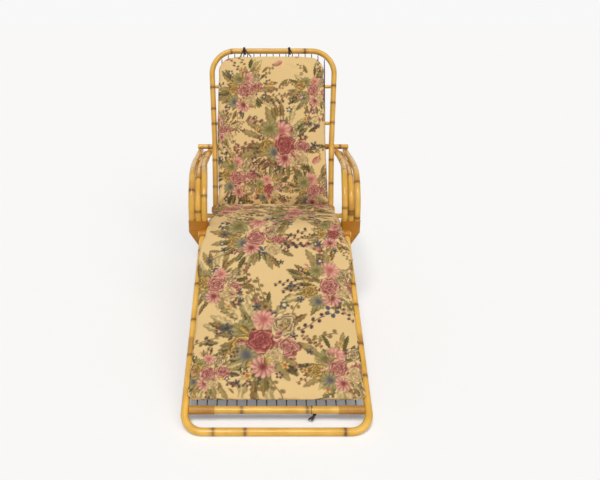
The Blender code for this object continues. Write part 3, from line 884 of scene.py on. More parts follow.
def sleeve(place, sign, low, high, y, z, radius):
    """A winding round a pole along X, from low to high on the side of the sign."""
    ends = sorted((sign * low, sign * high))
    return winding(evenly(place([spot(x, y, z) for x in ends]), WIND_STEP), radius, Z)


def make_lashings():
    """Cane round the arm fronts, the arm tops, the crossbar's ends, the rod and the hinge bars."""
    wrap = SEAT_GAP + CANE_WALL
    rod_outer = float(post_half(ROD_UP)) - POST_R - SEAT_GAP
    eyes = (("leg", on_leg, LEG_KNEE_HALF, "leg_rest"), ("back", on_back, POST_HINGE_HALF, "backrest"))
    for side, sign in SIDES:
        z = np.linspace(WRAP_TIP, WRAP_TOP, int((WRAP_TOP - WRAP_TIP) / WIND_STEP))
        run = ARM_PITCH * np.clip((z - WRAP_TIP) / (WRAP_WIDE - WRAP_TIP), 0, 1)
        upright = np.stack([z * 0, z * 0, z], 1)
        grid, values = winding(upright, ARM_R + wrap, X, run, WIDE_SIDES)
        shift = np.stack([sign * (ARM_INNER_HALF + run), np.full_like(z, ARM_FRONT), z * 0], 1)
        grid = grid + shift[[0, *range(len(z)), -1, 0]][:, None]
        lash(f"front_binding_{side}", (on_side(grid), values), "base", f"front_lashing_{side}")

        count = int((REAR_WRAP_END - REAR_WRAP_START) / WIND_STEP)
        y = np.linspace(REAR_WRAP_START, REAR_WRAP_END, count)
        x = np.full_like(y, sign * (arm_half(0, FLARE_TO) + arm_half(1, FLARE_TO)) / 2)
        z = ARM_CORNER_HEIGHT - ARM_TOP_DROP / 2 + ARM_SLOPE * (y - ARM_FRONT)
        path = on_side(np.stack([x, y, z], 1))
        apart = spot(ARM_TOP_PITCH, 0, -sign * ARM_TOP_DROP)
        part = winding(path, ARM_R + wrap, unit(apart), np.linalg.norm(apart) / 2, WIDE_SIDES)
        lash(f"arm_binding_{side}", part, "base", f"rear_lashing_{side}")

        low = CROSSBAR_HALF - CROSSBAR_LASHING
        part = sleeve(on_leg, sign, low, CROSSBAR_HALF, -CROSSBAR_AT, 0, POST_R + wrap)
        lash(f"crossbar_binding_{side}", part, "leg_rest", f"crossbar_lashing_{side}", PALE_CANE)
        low = rod_outer - ROD_LASHING
        part = sleeve(on_back, sign, low, rod_outer, ROD_BEHIND, ROD_UP, ROD_R + wrap)
        lash(f"rod_binding_{side}", part, "backrest", f"rod_lashing_{side}")
        for label, place, half, body in eyes:
            part = sleeve(place, sign, half - EYE_WIDTH / 2, half + EYE_WIDTH / 2, 0, 0, EYE_R)
            lash(f"{label}_eye_{side}", part, body, f"{label}_hinge_eye_{side}")


NAIL_R = 0.0022
NAIL_HEIGHT = 0.0012
NAIL_SINK = 0.0004
NAIL_SIDES = 12
NAIL_ROWS = 6
NAIL_BACK = 0.8
NAILS = ((0.004, 0.362), (0.024, 0.366), (0.043, 0.362), (0.014, 0.340), (0.030, 0.343))


def make_nails():
    """Nail heads in the front bindings: low domes, a quarter circle spun about the nail."""
    tilt = np.linspace(0, np.pi / 2, NAIL_ROWS)
    a = 2 * np.pi * np.arange(NAIL_SIDES) / NAIL_SIDES
    wide = NAIL_R * np.sin(tilt)
    high = np.repeat(-NAIL_HEIGHT * np.cos(tilt)[:, None], NAIL_SIDES, 1)
    dome = np.stack([np.outer(wide, np.cos(a)), high, np.outer(wide, np.sin(a))], -1)
    sunk = spot(0, NAIL_HEIGHT, 0)
    foot = dome[-1:] * spot(NAIL_BACK, 1, NAIL_BACK) + sunk
    head = np.concatenate([dome, foot, dome[:1] * 0 + sunk])
    front = ARM_FRONT - ARM_R - SEAT_GAP - CANE_WALL + NAIL_SINK
    for side, sign in SIDES:
        grids = [on_side(head + spot(sign * (ARM_INNER_HALF + x), front, z)) for x, z in NAILS]
        parts = [(grid, {"grain": grid.reshape(-1, 3)}) for grid in grids]
        settle(joined(f"binding_nails_{side}", parts, NAIL), "base", "cane")


RUNG_JOINTS = (0.06, 0.21, 0.36, 0.47)
SPINDLE_FOOT = 0.010
SPINDLE_TOP_GAP = 0.001


def spindles(name, lines, body, node):
    """Thin dark rods as one piece."""
    parts = []
    for line in lines:
        grid, values = pole_grid(evenly(line, SPINDLE_STEP), SPINDLE_R, X, sides=SPINDLE_SIDES)
        # The spindles' darker cut ends go in the attribute that also holds the cane's painted shade in
        # the grooves.
        parts.append((grid, {"grain": values["grain"], "groove": values["cut_end"]}))
    return settle(joined(name, parts, SPINDLE), body, "spindle", node)


def rungs(name, lines, radius, across, body):
    """The golden cross rods of a lattice as one piece."""
    parts = [pole_grid(evenly(line, POLE_STEP), radius, across, RUNG_JOINTS) for line in lines]
    return settle(joined(name, parts, RATTAN), body, "rattan")


def spread(count, pitch):
    return (np.arange(count) - (count - 1) / 2) * pitch


def make_lattices():
    """Dark spindles on golden rungs in the leg rest, the seat and the back."""
    lashing_r = POST_R + SEAT_GAP + CANE_WALL
    lashing_from = CROSSBAR_HALF - CROSSBAR_LASHING
    lines = []
    for x in spread(SPINDLES, LEG_SPINDLE_PITCH):
        stop = lashing_r if abs(x) + SPINDLE_R > lashing_from else POST_R
        lines.append(on_leg([spot(x, -EYE_R - SEAT_GAP, 0), spot(x, stop + SEAT_GAP - CROSSBAR_AT, 0)]))
    spindles("leg_spindles", lines, "leg_rest", "leg_lattice")
    rung_z = RUNG_BITE - SPINDLE_R - SEAT_RUNG_R
    lines = [crossing(on_leg, leg_half(d) - POLE_R - SEAT_GAP, -d, rung_z) for d in LEG_RUNGS]
    rungs("leg_rungs", lines, SEAT_RUNG_R, Z, "leg_rest")

    reach = POLE_R + SEAT_GAP
    lines = [
        on_seat([spot(x, reach, 0), spot(x, SEAT_LENGTH - reach, 0)])
        for x in spread(SEAT_SPINDLES, SEAT_SPINDLE_PITCH)
    ]
    spindles("seat_spindles", lines, "base", "seat_lattice")
    half = SEAT_RAIL_HALF + POST_R
    rung_z = SEAT_RUNG_R - POLE_R
    lines = [crossing(on_seat, half, y, rung_z) for y in SEAT_RUNGS]
    rungs("seat_rungs", lines, SEAT_RUNG_R, Z, "base")

    inner_r = BACK_CORNER_R - POST_R
    lean = math.atan2(POST_TOP_HALF - POST_WAIST_HALF, BACK_LENGTH - POST_WAIST_UP)
    corner_x = POST_TOP_HALF - BACK_CORNER_R / math.tan(math.pi / 4 - lean / 2)
    lines = []
    for x in spread(SPINDLES, BACK_SPINDLE_PITCH):
        past = max(abs(x) + SPINDLE_R - corner_x, 0)
        top = BACK_LENGTH - BACK_CORNER_R + math.sqrt(inner_r**2 - past**2) - SPINDLE_TOP_GAP
        lines.append(on_back([spot(x, 0, BACK_RUNGS[0] - SPINDLE_FOOT), spot(x, 0, top)]))
    spindles("back_spindles", lines, "backrest", "back_lattice")
    rung_y = SPINDLE_R + BACK_RUNG_R - RUNG_BITE
    lines = [crossing(on_back, post_half(up) - POST_R - SEAT_GAP, rung_y, up) for up in BACK_RUNGS]
    rungs("back_rungs", lines, BACK_RUNG_R, Y, "backrest")


# Printed cloth: linear colours
CREAM = spot(0.745, 0.525, 0.242)
ROSE = spot(0.42, 0.105, 0.095)
CRIMSON = spot(0.19, 0.022, 0.032)
PINK = spot(0.68, 0.33, 0.24)
YELLOW = spot(0.66, 0.41, 0.10)
IVORY = spot(0.78, 0.58, 0.30)
OLIVE = spot(0.145, 0.125, 0.036)
MOSS = spot(0.050, 0.048, 0.016)
SLATE = spot(0.085, 0.085, 0.105)
PLUM = spot(0.115, 0.045, 0.080)
TAN = spot(0.33, 0.205, 0.075)
SAGE = spot(0.33, 0.265, 0.105)
UMBER = spot(0.115, 0.058, 0.020)

# How many of each make a bouquet, and how far past its size a motif may reach
LARGE_LEAVES = 16
LEAVES = 34
SPRIGS = 9
DAISIES = 22
BUDS = 8
DAB_REACH = 1.3


def mixed(first, second, share):
    return first + (second - first) * np.clip(share, 0, 1)[:, None]


class Print:
    """Floral print: motifs painted one over another on the cloth's flat coordinates."""

    def __init__(self, flat, seed):
        self.flat = flat
        self.color = np.repeat(CREAM[None], len(flat), 0)
        self.rng = np.random.default_rng(seed)

    def dab(self, centre, size, angle, motif, *colors):
        """Paints a motif, a function of polar and turned coordinates, where it covers the cloth."""
        near = np.flatnonzero((np.abs(self.flat - centre) < size * DAB_REACH).all(1))
        q = (self.flat[near] - centre) / size
        c, s = math.cos(angle), math.sin(angle)
        q = np.stack([q[:, 0] * c + q[:, 1] * s, q[:, 1] * c - q[:, 0] * s], 1)
        cover, paint = motif(q, np.hypot(q[:, 0], q[:, 1]), np.arctan2(q[:, 1], q[:, 0]), *colors)
        tone = 1 + 0.16 * np.sin(7 * q[:, 0] + 3 * q[:, 1] + angle) * np.sin(6 * q[:, 1] - 2 * q[:, 0])
        paint = paint * (tone * (0.55 + 0.45 * smooth_step(0.3, 2.0, cover)))[:, None]
        self.color[near] += (paint - self.color[near]) * np.clip(cover, 0, 1)[:, None]

    def around(self, centre, low, high):
        turn = self.rng.uniform(0, 2 * math.pi)
        reach = self.rng.uniform(low, high)
        return centre + reach * np.array((math.cos(turn), math.sin(turn))), turn

    def bouquet(self, centre, size):
        """Leaves and sprigs spread outwards, then small flowers, then the large heads on top."""
        centre = np.array(centre, float)
        for _ in range(LARGE_LEAVES):
            place, turn = self.around(centre, 0.5 * size, 0.95 * size)
            reach = self.rng.uniform(0.24, 0.36) * size
            self.dab(place, reach, turn, leaf, *self.pick((SAGE, TAN), (CREAM, SAGE)))
        self.strew(centre, size, LEAVES, (0.40, 1.0), (0.13, 0.23), leaf, LEAF_PAIRS)
        for _ in range(SPRIGS):
            place, turn = self.around(centre, 0.85 * size, 1.15 * size)
            pair = self.pick((MOSS, ROSE), (UMBER, PLUM), (OLIVE, TAN))
            self.dab(place, 0.30 * size, turn, sprig, *pair)
        self.strew(centre, size, DAISIES, (0.35, 1.0), (0.07, 0.13), daisy, DAISY_PAIRS)
        for i, (motif, light, dark) in enumerate(HEADS):
            turn = 2 * math.pi * i / len(HEADS) + self.rng.uniform(-0.35, 0.35)
            reach = self.rng.uniform(0.34, 0.58) * size
            place = centre + reach * np.array((math.cos(turn), math.sin(turn)))
            self.dab(place, self.rng.uniform(0.21, 0.30) * size, turn, motif, light, dark)
        turn = self.rng.uniform(0, 6)
        self.dab(centre, 0.31 * size, turn, rose, *self.pick((PINK, CRIMSON), (ROSE, CRIMSON)))
        self.strew(centre, size, BUDS, (0.3, 0.85), (0.06, 0.10), bud, BUD_PAIRS)

    def strew(self, centre, size, count, ring, sizes, motif, pairs):
        """Paints a motif many times about the centre; ring and sizes are shares of the size."""
        for _ in range(count):
            place, turn = self.around(centre, ring[0] * size, ring[1] * size)
            pair = self.pick(*pairs)
            self.dab(place, self.rng.uniform(*sizes) * size, turn, motif, *pair)

    def pick(self, *pairs):
        return pairs[self.rng.integers(len(pairs))]

    def scatter(self, low, high, count):
        """Loose sprigs and small flowers between the bouquets."""
        for _ in range(count):
            place = self.rng.uniform(low, high)
            turn = self.rng.uniform(0, 2 * math.pi)
            kind = self.pick(*LOOSE)
            self.dab(place, self.rng.uniform(0.016, 0.030), turn, *kind)


def rose(q, r, a, light, dark):
    """A head with petals as a spiral of light rims and dark folds, five lobes at the edge."""
    curl = 0.30 * np.sin(3 * a + 7 * r)
    ripple = 0.16 * np.sin(7 * a - 5 * r)
    fold = (3.6 * r + a / (2 * np.pi) + curl + ripple) % 1
    edge = 0.86 + 0.10 * np.sin(5 * a) + 0.05 * np.sin(11 * a)
    shade = 1.30 * fold**1.2 * (0.40 + 0.60 * r)
    paint = mixed(dark, light, shade)
    return (edge - r) / 0.05, mixed(paint, IVORY, 0.55 * smooth_step(0.72, 1.0, fold) * r)


def bloom(q, r, a, light, dark):
    """A ragged head in two rows of thin petals, darker towards the heart and between them."""
    petal = np.abs(np.sin(5.5 * a + 2.0 * r))
    inner = np.abs(np.sin(4.5 * a + 1.0))
    edge = 0.74 + 0.24 * petal
    row = np.where(r < 0.30 + 0.18 * inner, 0.25 + 0.75 * r * inner / 0.4, petal)
    return (edge - r) / 0.05, mixed(dark, light, smooth_step(0.02, 0.70, r) * (0.25 + 0.95 * row))


def daisy(q, r, a, light, dark):
    """Five round petals about an eye."""
    petal = np.abs(np.cos(2.5 * a)) ** 0.5
    return (petal - r) / 0.12, mixed(light, dark, (0.36 - r) / 0.1 + 0.3 * np.abs(np.sin(7.5 * a)))


def leaf(q, r, a, light, dark):
    """A pointed, toothed leaf with a pale mid rib and slanting veins."""
    half = 0.38 * np.clip(1 - q[:, 0] ** 2, 0, 1) ** 0.8 * (0.86 + 0.14 * np.sin(16 * q[:, 0]))
    rib = bell(q[:, 1], 0.05)
    vein = np.abs(np.sin(9 * (q[:, 0] - np.abs(q[:, 1])))) ** 5
    shade = 0.35 + 0.5 * (q[:, 1] > 0) - 0.7 * rib + 0.4 * vein
    return (half - np.abs(q[:, 1])) / 0.07, mixed(light, dark, shade)


def bud(q, r, a, light, dark):
    """A small oval in two tones."""
    oval = np.hypot(q[:, 0], q[:, 1] / 0.62)
    return (0.95 - oval) / 0.12, mixed(light, dark, 0.5 + 1.2 * q[:, 1])


def sprig(q, r, a, light, dark):
    """A curved stem with dots of blossom along it."""
    bend = 0.18 * np.sin(2.2 * q[:, 0])
    stem = (0.05 - np.abs(q[:, 1] - bend)) / 0.04 * (np.abs(q[:, 0]) < 0.95)
    step = (q[:, 0] * 3.2) % 1 - 0.5
    side = np.where(np.floor(q[:, 0] * 3.2) % 2 == 0, 0.17, -0.17)
    dot = (0.15 - np.hypot(step / 3.2, q[:, 1] - bend - side)) / 0.04 * (np.abs(q[:, 0]) < 0.95)
    return np.maximum(np.clip(stem, 0, 1), np.clip(dot, 0, 1)), mixed(light, dark, dot)


LEAF_PAIRS = ((OLIVE, MOSS), (TAN, OLIVE), (SAGE, MOSS), (TAN, UMBER))
DAISY_PAIRS = ((SLATE, IVORY), (PLUM, YELLOW), (TAN, UMBER), (SLATE, MOSS), (YELLOW, ROSE))
BUD_PAIRS = ((CRIMSON, PINK), (ROSE, IVORY), (UMBER, YELLOW))
HEADS = (
    (rose, PINK, CRIMSON),
    (rose, IVORY, UMBER),
    (bloom, PINK, ROSE),
    (bloom, SAGE, OLIVE),
    (rose, YELLOW, UMBER),
    (bloom, SAGE, SLATE),
    (bloom, PINK, CRIMSON),
    (rose, IVORY, TAN),
)
LOOSE = ((sprig, OLIVE, ROSE), (daisy, SLATE, IVORY), (bud, ROSE, PINK), (leaf, OLIVE, TAN))

# Pads
PAD_THICK = 0.033
PAD_LIFT = 0.0038
PAD_GRID = 0.011
PAD_ROUND = 0.016
PAD_CROWN = 0.22
PAD_EDGE = 0.95
PAD_ACROSS = 46
PAD_TURN = 8
PAD_END_ROWS = 6
COVER_FOOT = -0.697
COVER_REAR = 0.447
COVER_CORNERS = (0.022, 0.016)
COVER_HALVES = (
    (-0.15, 0.2905),
    (-0.10, 0.2860),
    (-0.05, 0.2765),
    (0.0, 0.2655),
    (0.036, 0.2585),
    (0.070, 0.2585),
    (0.10, 0.272),
    (0.20, 0.283),
    (0.45, 0.290),
)
COVER_LEG_LIFT = 0.0080
COVER_KNEE_LIFT = 0.0146
LIFT_TURN = 0.05
KNEE_RISE = (-0.28, -0.17)
KNEE_FALL = (0.02, 0.07)
KNEE_BEND = 0.04
KNEE_THIN = 0.008
KNEE_THIN_WIDTH = 0.06
POLE_TOUCH = 0.0002
BACK_PAD_LOW = 0.018
BACK_PAD_TOP = 0.702
BACK_PAD_CORNERS = (0.014, 0.080)
BACK_PAD_HALVES = ((0.0, 0.2560), (0.41, 0.2540), (0.72, 0.2450))
BACK_PAD_SHIFT = -0.0090
BACK_PAD_SHIFT_RUN = 0.4

# Stuffing, creases as (x, along, turn, length, width), prints as (seed, low corner, high corner,
# loose motifs), and bouquets as (x, along, size)
PRESSURE = 4.0
SHRINK = -0.015
CLOTH_FRAMES = 20
PUFF_LIMIT = 0.009
COVER_CREASE = 0.0022
COVER_CREASES = (
    (0.10, -0.03, 0.1, 0.10, 0.007),
    (-0.12, -0.02, -0.15, 0.08, 0.006),
    (0.05, 0.03, 0.0, 0.14, 0.008),
    (-0.20, -0.35, 1.4, 0.09, 0.010),
    (0.21, -0.52, 1.7, 0.10, 0.010),
    (0.02, -0.64, 0.1, 0.12, 0.009),
)
COVER_PRINT = (4, (-0.30, -0.70), (0.30, 0.45), 46)
COVER_BOUQUETS = (
    (-0.05, -0.50, 0.185),
    (0.20, -0.60, 0.125),
    (-0.22, -0.62, 0.100),
    (0.19, -0.28, 0.145),
    (-0.21, -0.27, 0.125),
    (-0.07, -0.06, 0.150),
    (0.22, -0.04, 0.100),
    (0.08, 0.18, 0.150),
    (-0.18, 0.27, 0.145),
    (0.20, 0.38, 0.125),
)
BACK_CREASE = 0.0020
BACK_CREASES = (
    (-0.10, 0.64, 0.5, 0.07, 0.008),
    (0.09, 0.65, -0.4, 0.06, 0.007),
    (0.0, 0.09, 0.05, 0.15, 0.010),
    (-0.19, 0.40, 1.35, 0.10, 0.010),
    (0.19, 0.33, 1.8, 0.10, 0.010),
)
BACK_PRINT = (9, (-0.27, 0.02), (0.27, 0.72), 28)
BACK_BOUQUETS = (
    (0.06, 0.29, 0.175),
    (-0.16, 0.14, 0.135),
    (-0.12, 0.54, 0.135),
    (0.19, 0.54, 0.110),
    (0.18, 0.08, 0.120),
    (-0.23, 0.36, 0.085),
    (-0.02, 0.09, 0.090),
)


def pad_section():
    """Half width shares and heights round a pad's section, with as many points above as below.

    Gives arrays that say, for a half width of 1: the share of the width, the inset from the edge in
    pad thicknesses, the height share and the distance gone past the edge, all round the section.
    """
    across = np.linspace(-1, 1, PAD_ACROSS)
    turn = np.linspace(0, np.pi, PAD_TURN)[1:-1]
    top = np.stack([across, across * 0, across * 0 + 1, across * 0], 1)
    right = np.stack([turn * 0 + 1, np.sin(turn), (1 + np.cos(turn)) / 2, turn], 1)
    bottom = np.stack([-across, across * 0, across * 0, -np.pi * across], 1)
    left = right[::-1] * (-1, -1, 1, -1)
    return np.concatenate([top, right, bottom, left])


def pad_grid(s, half, corner, place, lift, depth):
    """A pad as sections square to its length.

    The top crowns by the fourth power of the place across it, the edges are half circles, and both
    the width and the thickness follow a quarter circle into the two ends.
    """
    share, inset, height, past = pad_section().T
    end = np.minimum(s - s[0], s[-1] - s)
    radius = np.where(s - s[0] < s[-1] - s, corner[0], corner[1])
    short = np.clip(1 - end / radius, 0, 1)
    half = half - radius * (1 - np.sqrt(1 - short**2))
    thick = depth * np.sqrt(1 - np.clip(1 - end / PAD_ROUND, 0, 1) ** 2)
    bulge = thick / 2
    flat_half = half - depth / 2
    x = share * flat_half[:, None] + inset * bulge[:, None] * PAD_EDGE
    crown = 1 - PAD_CROWN * np.abs(share) ** 4
    z = depth[:, None] / 2 + (height - 0.5) * thick[:, None] * np.where(height > 0.99, crown, 1)
    across = flat_half[:, None] * share + past * PAD_THICK / 2
    flat = np.stack([across, np.repeat(s[:, None], len(share), 1), across * 0], -1)
    return place(x, s[:, None], lift[:, None] + z), flat.reshape(-1, 3)


def pad_rows(low, high):
    """Places along a pad, closer together where its ends round off."""
    ease = PAD_ROUND * (1 - np.cos(np.linspace(0, np.pi / 2, PAD_END_ROWS)))
    count = int(round((high - low - 2 * PAD_ROUND) / PAD_GRID))
    middle = np.linspace(low + PAD_ROUND, high - PAD_ROUND, count)[1:-1]
    return np.concatenate([low + ease, middle, high - ease[::-1]])


def place_cover(x, s, z):
    """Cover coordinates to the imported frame: along the leg rest up to the knee, then along the seat."""
    s = s + x * 0
    points = np.stack([x, s, z + x * 0], -1)
    leg, seat = on_leg(points), on_seat(points)
    return leg + (seat - leg) * smooth_step(-KNEE_BEND, KNEE_BEND, s)[..., None]


def back_pad_shift(s):
    """The back pad sits a little to the left towards its top."""
    return BACK_PAD_SHIFT * smooth_step(0, BACK_PAD_SHIFT_RUN, s)


def place_back(x, s, z):
    """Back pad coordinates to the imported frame."""
    return on_back(np.stack([x + back_pad_shift(s), -z + x * 0, s + x * 0], -1))


def read_vectors(data, key):
    found = np.empty(len(data) * 3, np.float32)
    data.foreach_get(key, found)
    return found.reshape(-1, 3).astype(float)


def flat_of(mesh):
    return read_vectors(mesh.attributes["flat"].data, "vector")


def move_points(mesh, points):
    mesh.vertices.foreach_set("co", points.astype(np.float32).ravel())
    mesh.update()


def puff(piece, pinned, left, right):
    """Blows the pad up as cloth with its pinned points held, and limits how far each point moves."""
    before = read_vectors(piece.data.vertices, "co")
    group = piece.vertex_groups.new(name="held")
    group.add([int(i) for i in np.flatnonzero(pinned)], 1.0, "REPLACE")
    cloth = piece.modifiers.new("stuffing", "CLOTH")
    cloth.settings.use_pressure = True
    cloth.settings.uniform_pressure_force = PRESSURE
    cloth.settings.effector_weights.gravity = 0.0
    cloth.settings.vertex_group_mass = "held"
    cloth.settings.shrink_min = SHRINK
    cloth.collision_settings.use_collision = False
    cloth.point_cache.frame_start = 1
    cloth.point_cache.frame_end = CLOTH_FRAMES
    scene = bpy.context.scene
    for number in range(1, CLOTH_FRAMES + 1):
        scene.frame_set(number)
    blown = piece.evaluated_get(bpy.context.evaluated_depsgraph_get()).data
    move = read_vectors(blown.vertices, "co") - before
    scene.frame_set(1)
    piece.modifiers.remove(cloth)
    piece.vertex_groups.remove(group)
    size = np.linalg.norm(move, axis=1, keepdims=True)
    result = before + move * np.minimum(1, PUFF_LIMIT / np.maximum(size, 1e-9))
    result[:, 0] = np.clip(result[:, 0], left, right)
    move_points(piece.data, result)


def refine(piece, levels=2):
    """Applies a Subdivision Surface to the mesh; the cloth's flat coordinates go along."""
    smooth = piece.modifiers.new("smooth", "SUBSURF")
    smooth.levels = smooth.render_levels = levels
    made = bpy.data.meshes.new_from_object(piece.evaluated_get(bpy.context.evaluated_depsgraph_get()))
    piece.modifiers.remove(smooth)
    old = piece.data
    piece.data = made
    bpy.data.meshes.remove(old)
    made.name = piece.name
    made.shade_smooth()


def wrinkle(piece, amount, places):
    """Low creases: a shallow smooth valley along a line at each of the places."""
    mesh = piece.data
    flat = flat_of(mesh)
    depth = np.zeros(len(flat))
    for x, s, turn, length, width in places:
        along = (flat[:, 0] - x) * math.cos(turn) + (flat[:, 1] - s) * math.sin(turn)
        off = (flat[:, 1] - s) * math.cos(turn) - (flat[:, 0] - x) * math.sin(turn)
        depth += np.exp(-((along / length) ** 2) - (off / width) ** 2)
    normals = read_vectors(mesh.vertices, "normal")
    move_points(mesh, read_vectors(mesh.vertices, "co") - amount * depth[:, None] * normals)


def print_on(piece, seed, low, high, loose, bouquets):
    """Paints the floral on the cloth: loose motifs from low to high, then the bouquets."""
    painted = Print(flat_of(piece.data)[:, :2], seed)
    painted.scatter(low, high, loose)
    for x, along, size in bouquets:
        painted.bouquet((x, along), size)
    color = np.concatenate([painted.color, np.ones((len(painted.color), 1))], 1)
    set_attribute(piece.data, "print", "FLOAT_COLOR", color)


def cover_lift(s):
    """The cover's underside above the frames' middle: low on the seat, higher on leg rest and knee."""
    low = COVER_LEG_LIFT + (PAD_LIFT - COVER_LEG_LIFT) * smooth_step(-LIFT_TURN, LIFT_TURN, s)
    knee = smooth_step(*KNEE_RISE, s) * (1 - smooth_step(*KNEE_FALL, s))
    return low + (COVER_KNEE_LIFT - low) * knee


def cover_half(s):
    """Half the cover's width: its edge leans on the side poles and is drawn in between the arms."""
    edge_r = PAD_THICK / 2
    reach = POLE_R + edge_r + POLE_TOUCH
    aside = np.sqrt(np.maximum(reach**2 - (cover_lift(s) + edge_r) ** 2, 0))
    return np.minimum(leg_half(-s) + edge_r - aside, np.interp(s, *zip(*COVER_HALVES)))


def back_pad_half(s):
    return np.interp(s, *zip(*BACK_PAD_HALVES))


def finish_pad(pad, half_at, middle_at):
    held = np.empty(len(pad.data.vertices), np.float32)
    pad.data.attributes["under"].data.foreach_get("value", held)
    along = flat_of(pad.data)[:, 1]
    middle = middle_at(along)
    half = half_at(along)
    puff(pad, held > 0.5, middle - half, middle + half)


def make_pad(name, s, half_at, middle_at, corners, place, lift, depth):
    """A pad from its sections, stuffed and smoothed."""
    grid, flat = pad_grid(s, half_at(s), corners, place, lift, depth)
    under = np.repeat((pad_section()[:, 2] < 0.01)[None], len(s), 0).ravel()
    pad = surface(name, [grid], CLOTH, [("flat", "FLOAT_VECTOR", flat), ("under", "FLOAT", under)])
    finish_pad(pad, half_at, middle_at)
    refine(pad)
    return pad


def make_cover():
    """The pad of the seat and the leg rest: one stuffed cover that bends over the knee bar."""
    s = pad_rows(COVER_FOOT, COVER_REAR)
    depth = PAD_THICK - KNEE_THIN * bell(s, KNEE_THIN_WIDTH)
    cover = make_pad(
        "padded_cover", s, cover_half, np.zeros_like, COVER_CORNERS, place_cover, cover_lift(s), depth
    )
    wrinkle(cover, COVER_CREASE, COVER_CREASES)
    print_on(cover, *COVER_PRINT, COVER_BOUQUETS)
    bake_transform(cover)
    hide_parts("seat_pad", "leg_pad")


def make_back_pad():
    """The pad of the back, down to the seat's pad."""
    s = pad_rows(BACK_PAD_LOW, BACK_PAD_TOP)
    lift = np.full_like(s, PAD_LIFT)
    depth = np.full_like(s, PAD_THICK)
    pad = make_pad(
        "padded_back", s, back_pad_half, back_pad_shift, BACK_PAD_CORNERS, place_back, lift, depth
    )
    wrinkle(pad, BACK_CREASE, BACK_CREASES)
    print_on(pad, *BACK_PRINT, BACK_BOUQUETS)
    settle(pad, "backrest", "cloth", "back_pad")
    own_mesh(pad)


# Ties: strands and tails are given points from the knot on
TIE_RING_R = 0.0151
TOP_LOOP = (1.9, 0.0056)
FOOT_LOOP = (1.2, 0.0030)
LOOP_START = 0.3
LOOP_POINTS = 40
CURVE_POINTS = 24
KNOT = (0.0034, 2.3, 0.0030)
TOP_KNOT = (-0.0200, 0.0060)
FOOT_KNOT = (0.010, -0.006, -0.0155)
CORD_ACROSS = unit(spot(0.9, 0.31, 0.3))
CORD_SIDES = 12
CORD_STEP = 0.0015
TOP_CORD_R = 0.0024
FOOT_CORD_R = 0.0009
FOOT_TAIL_R = 0.0029
FOOT_TIE_X = 0.11025
TOP_TIES = (
    (
        "left",
        -0.13275,
        (
            ((-0.001, -0.0200, 0.006), (-0.008, -0.0190, -0.010), (-0.018, -0.0205, -0.0330)),
            ((0.000, -0.0200, 0.005), (0.000, -0.0200, -0.012), (-0.002, -0.0225, -0.0330)),
            ((0.001, -0.0200, 0.006), (0.012, -0.0195, -0.010), (0.032, -0.0205, -0.0330)),
        ),
    ),
    (
        "right",
        0.07375,
        (
            ((0.000, -0.0200, 0.006), (-0.001, -0.0195, -0.012), (-0.003, -0.0215, -0.0330)),
            ((0.001, -0.0205, 0.005), (0.007, -0.0215, -0.006), (0.0125, -0.0220, -0.0170)),
        ),
    ),
)
FOOT_TAILS = (
    ((0, 0, 0), (-0.005, -0.004, -0.007), (-0.013, -0.006, -0.013), (-0.0195, -0.007, -0.018)),
    ((0, 0, 0), (-0.001, -0.005, -0.006), (-0.006, -0.008, -0.013), (-0.010, -0.009, -0.019)),
)


def wound_loop(radius, turns, pitch):
    """A helix round a bar along X."""
    a = np.linspace(LOOP_START, 2 * np.pi * turns + LOOP_START, int(LOOP_POINTS * turns))
    x = pitch * (a / (2 * np.pi) - turns / 2)
    return np.stack([x, radius * np.cos(a), radius * np.sin(a)], 1)


def cord_grid(path, radius):
    """A round cord along a path, with rounded ends."""
    grid, values = pole_grid(path, radius + SKIN_INSET, CORD_ACROSS, sides=CORD_SIDES)
    return grid, {"grain": values["grain"]}


def through(points):
    """A smooth line through given points: Catmull-Rom pieces at an even step."""
    points = np.array(points, float)
    guard = np.concatenate([[2 * points[0] - points[1]], points, [2 * points[-1] - points[-2]]])
    t = np.linspace(0, 1, CURVE_POINTS, endpoint=False)[:, None]
    runs = []
    for a, b, c, d in zip(guard, guard[1:], guard[2:], guard[3:]):
        bend = (2 * a - 5 * b + 4 * c - d) * t**2 + (3 * b - a - 3 * c + d) * t**3
        runs.append(b + ((c - a) * t + bend) / 2)
    return evenly(np.concatenate([*runs, points[-1:]]), CORD_STEP)


def make_tie(node, body, lines):
    """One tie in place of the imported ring: its loop, its knot and its strands, each with its radius."""
    parts = [cord_grid(line, radius) for line, radius in lines]
    settle(joined(f"{node}_cord", parts, TAPE), body, "tie", node)


def make_ties():
    """Dark cords tied round the top rail, down to the pad, and round the crossbar."""
    rail = BACK_LENGTH
    knot = wound_loop(*KNOT)[:, [0, 2, 1]]
    for side, x, strands in TOP_TIES:
        lines = [(on_back(wound_loop(TIE_RING_R, *TOP_LOOP) + spot(x, 0, rail)), TOP_CORD_R)]
        lines.append((on_back(knot + spot(x, TOP_KNOT[0], rail + TOP_KNOT[1])), TOP_CORD_R))
        for strand in strands:
            points = [spot(x + dx, dy, rail + dz) for dx, dy, dz in strand]
            lines.append((on_back(through(points)), TOP_CORD_R))
        make_tie(f"top_tie_{side}", "backrest", lines)
    middle = spot(FOOT_TIE_X, -CROSSBAR_AT, 0)
    start = on_leg(middle + spot(*FOOT_KNOT))
    lines = [(on_leg(wound_loop(POST_R + FOOT_CORD_R, *FOOT_LOOP) + middle), FOOT_CORD_R)]
    lines.append((knot[:, [1, 0, 2]] + start, FOOT_TAIL_R))
    lines += [(through([start + spot(*move) for move in tail]), FOOT_TAIL_R) for tail in FOOT_TAILS]
    make_tie("foot_tie", "leg_rest", lines)


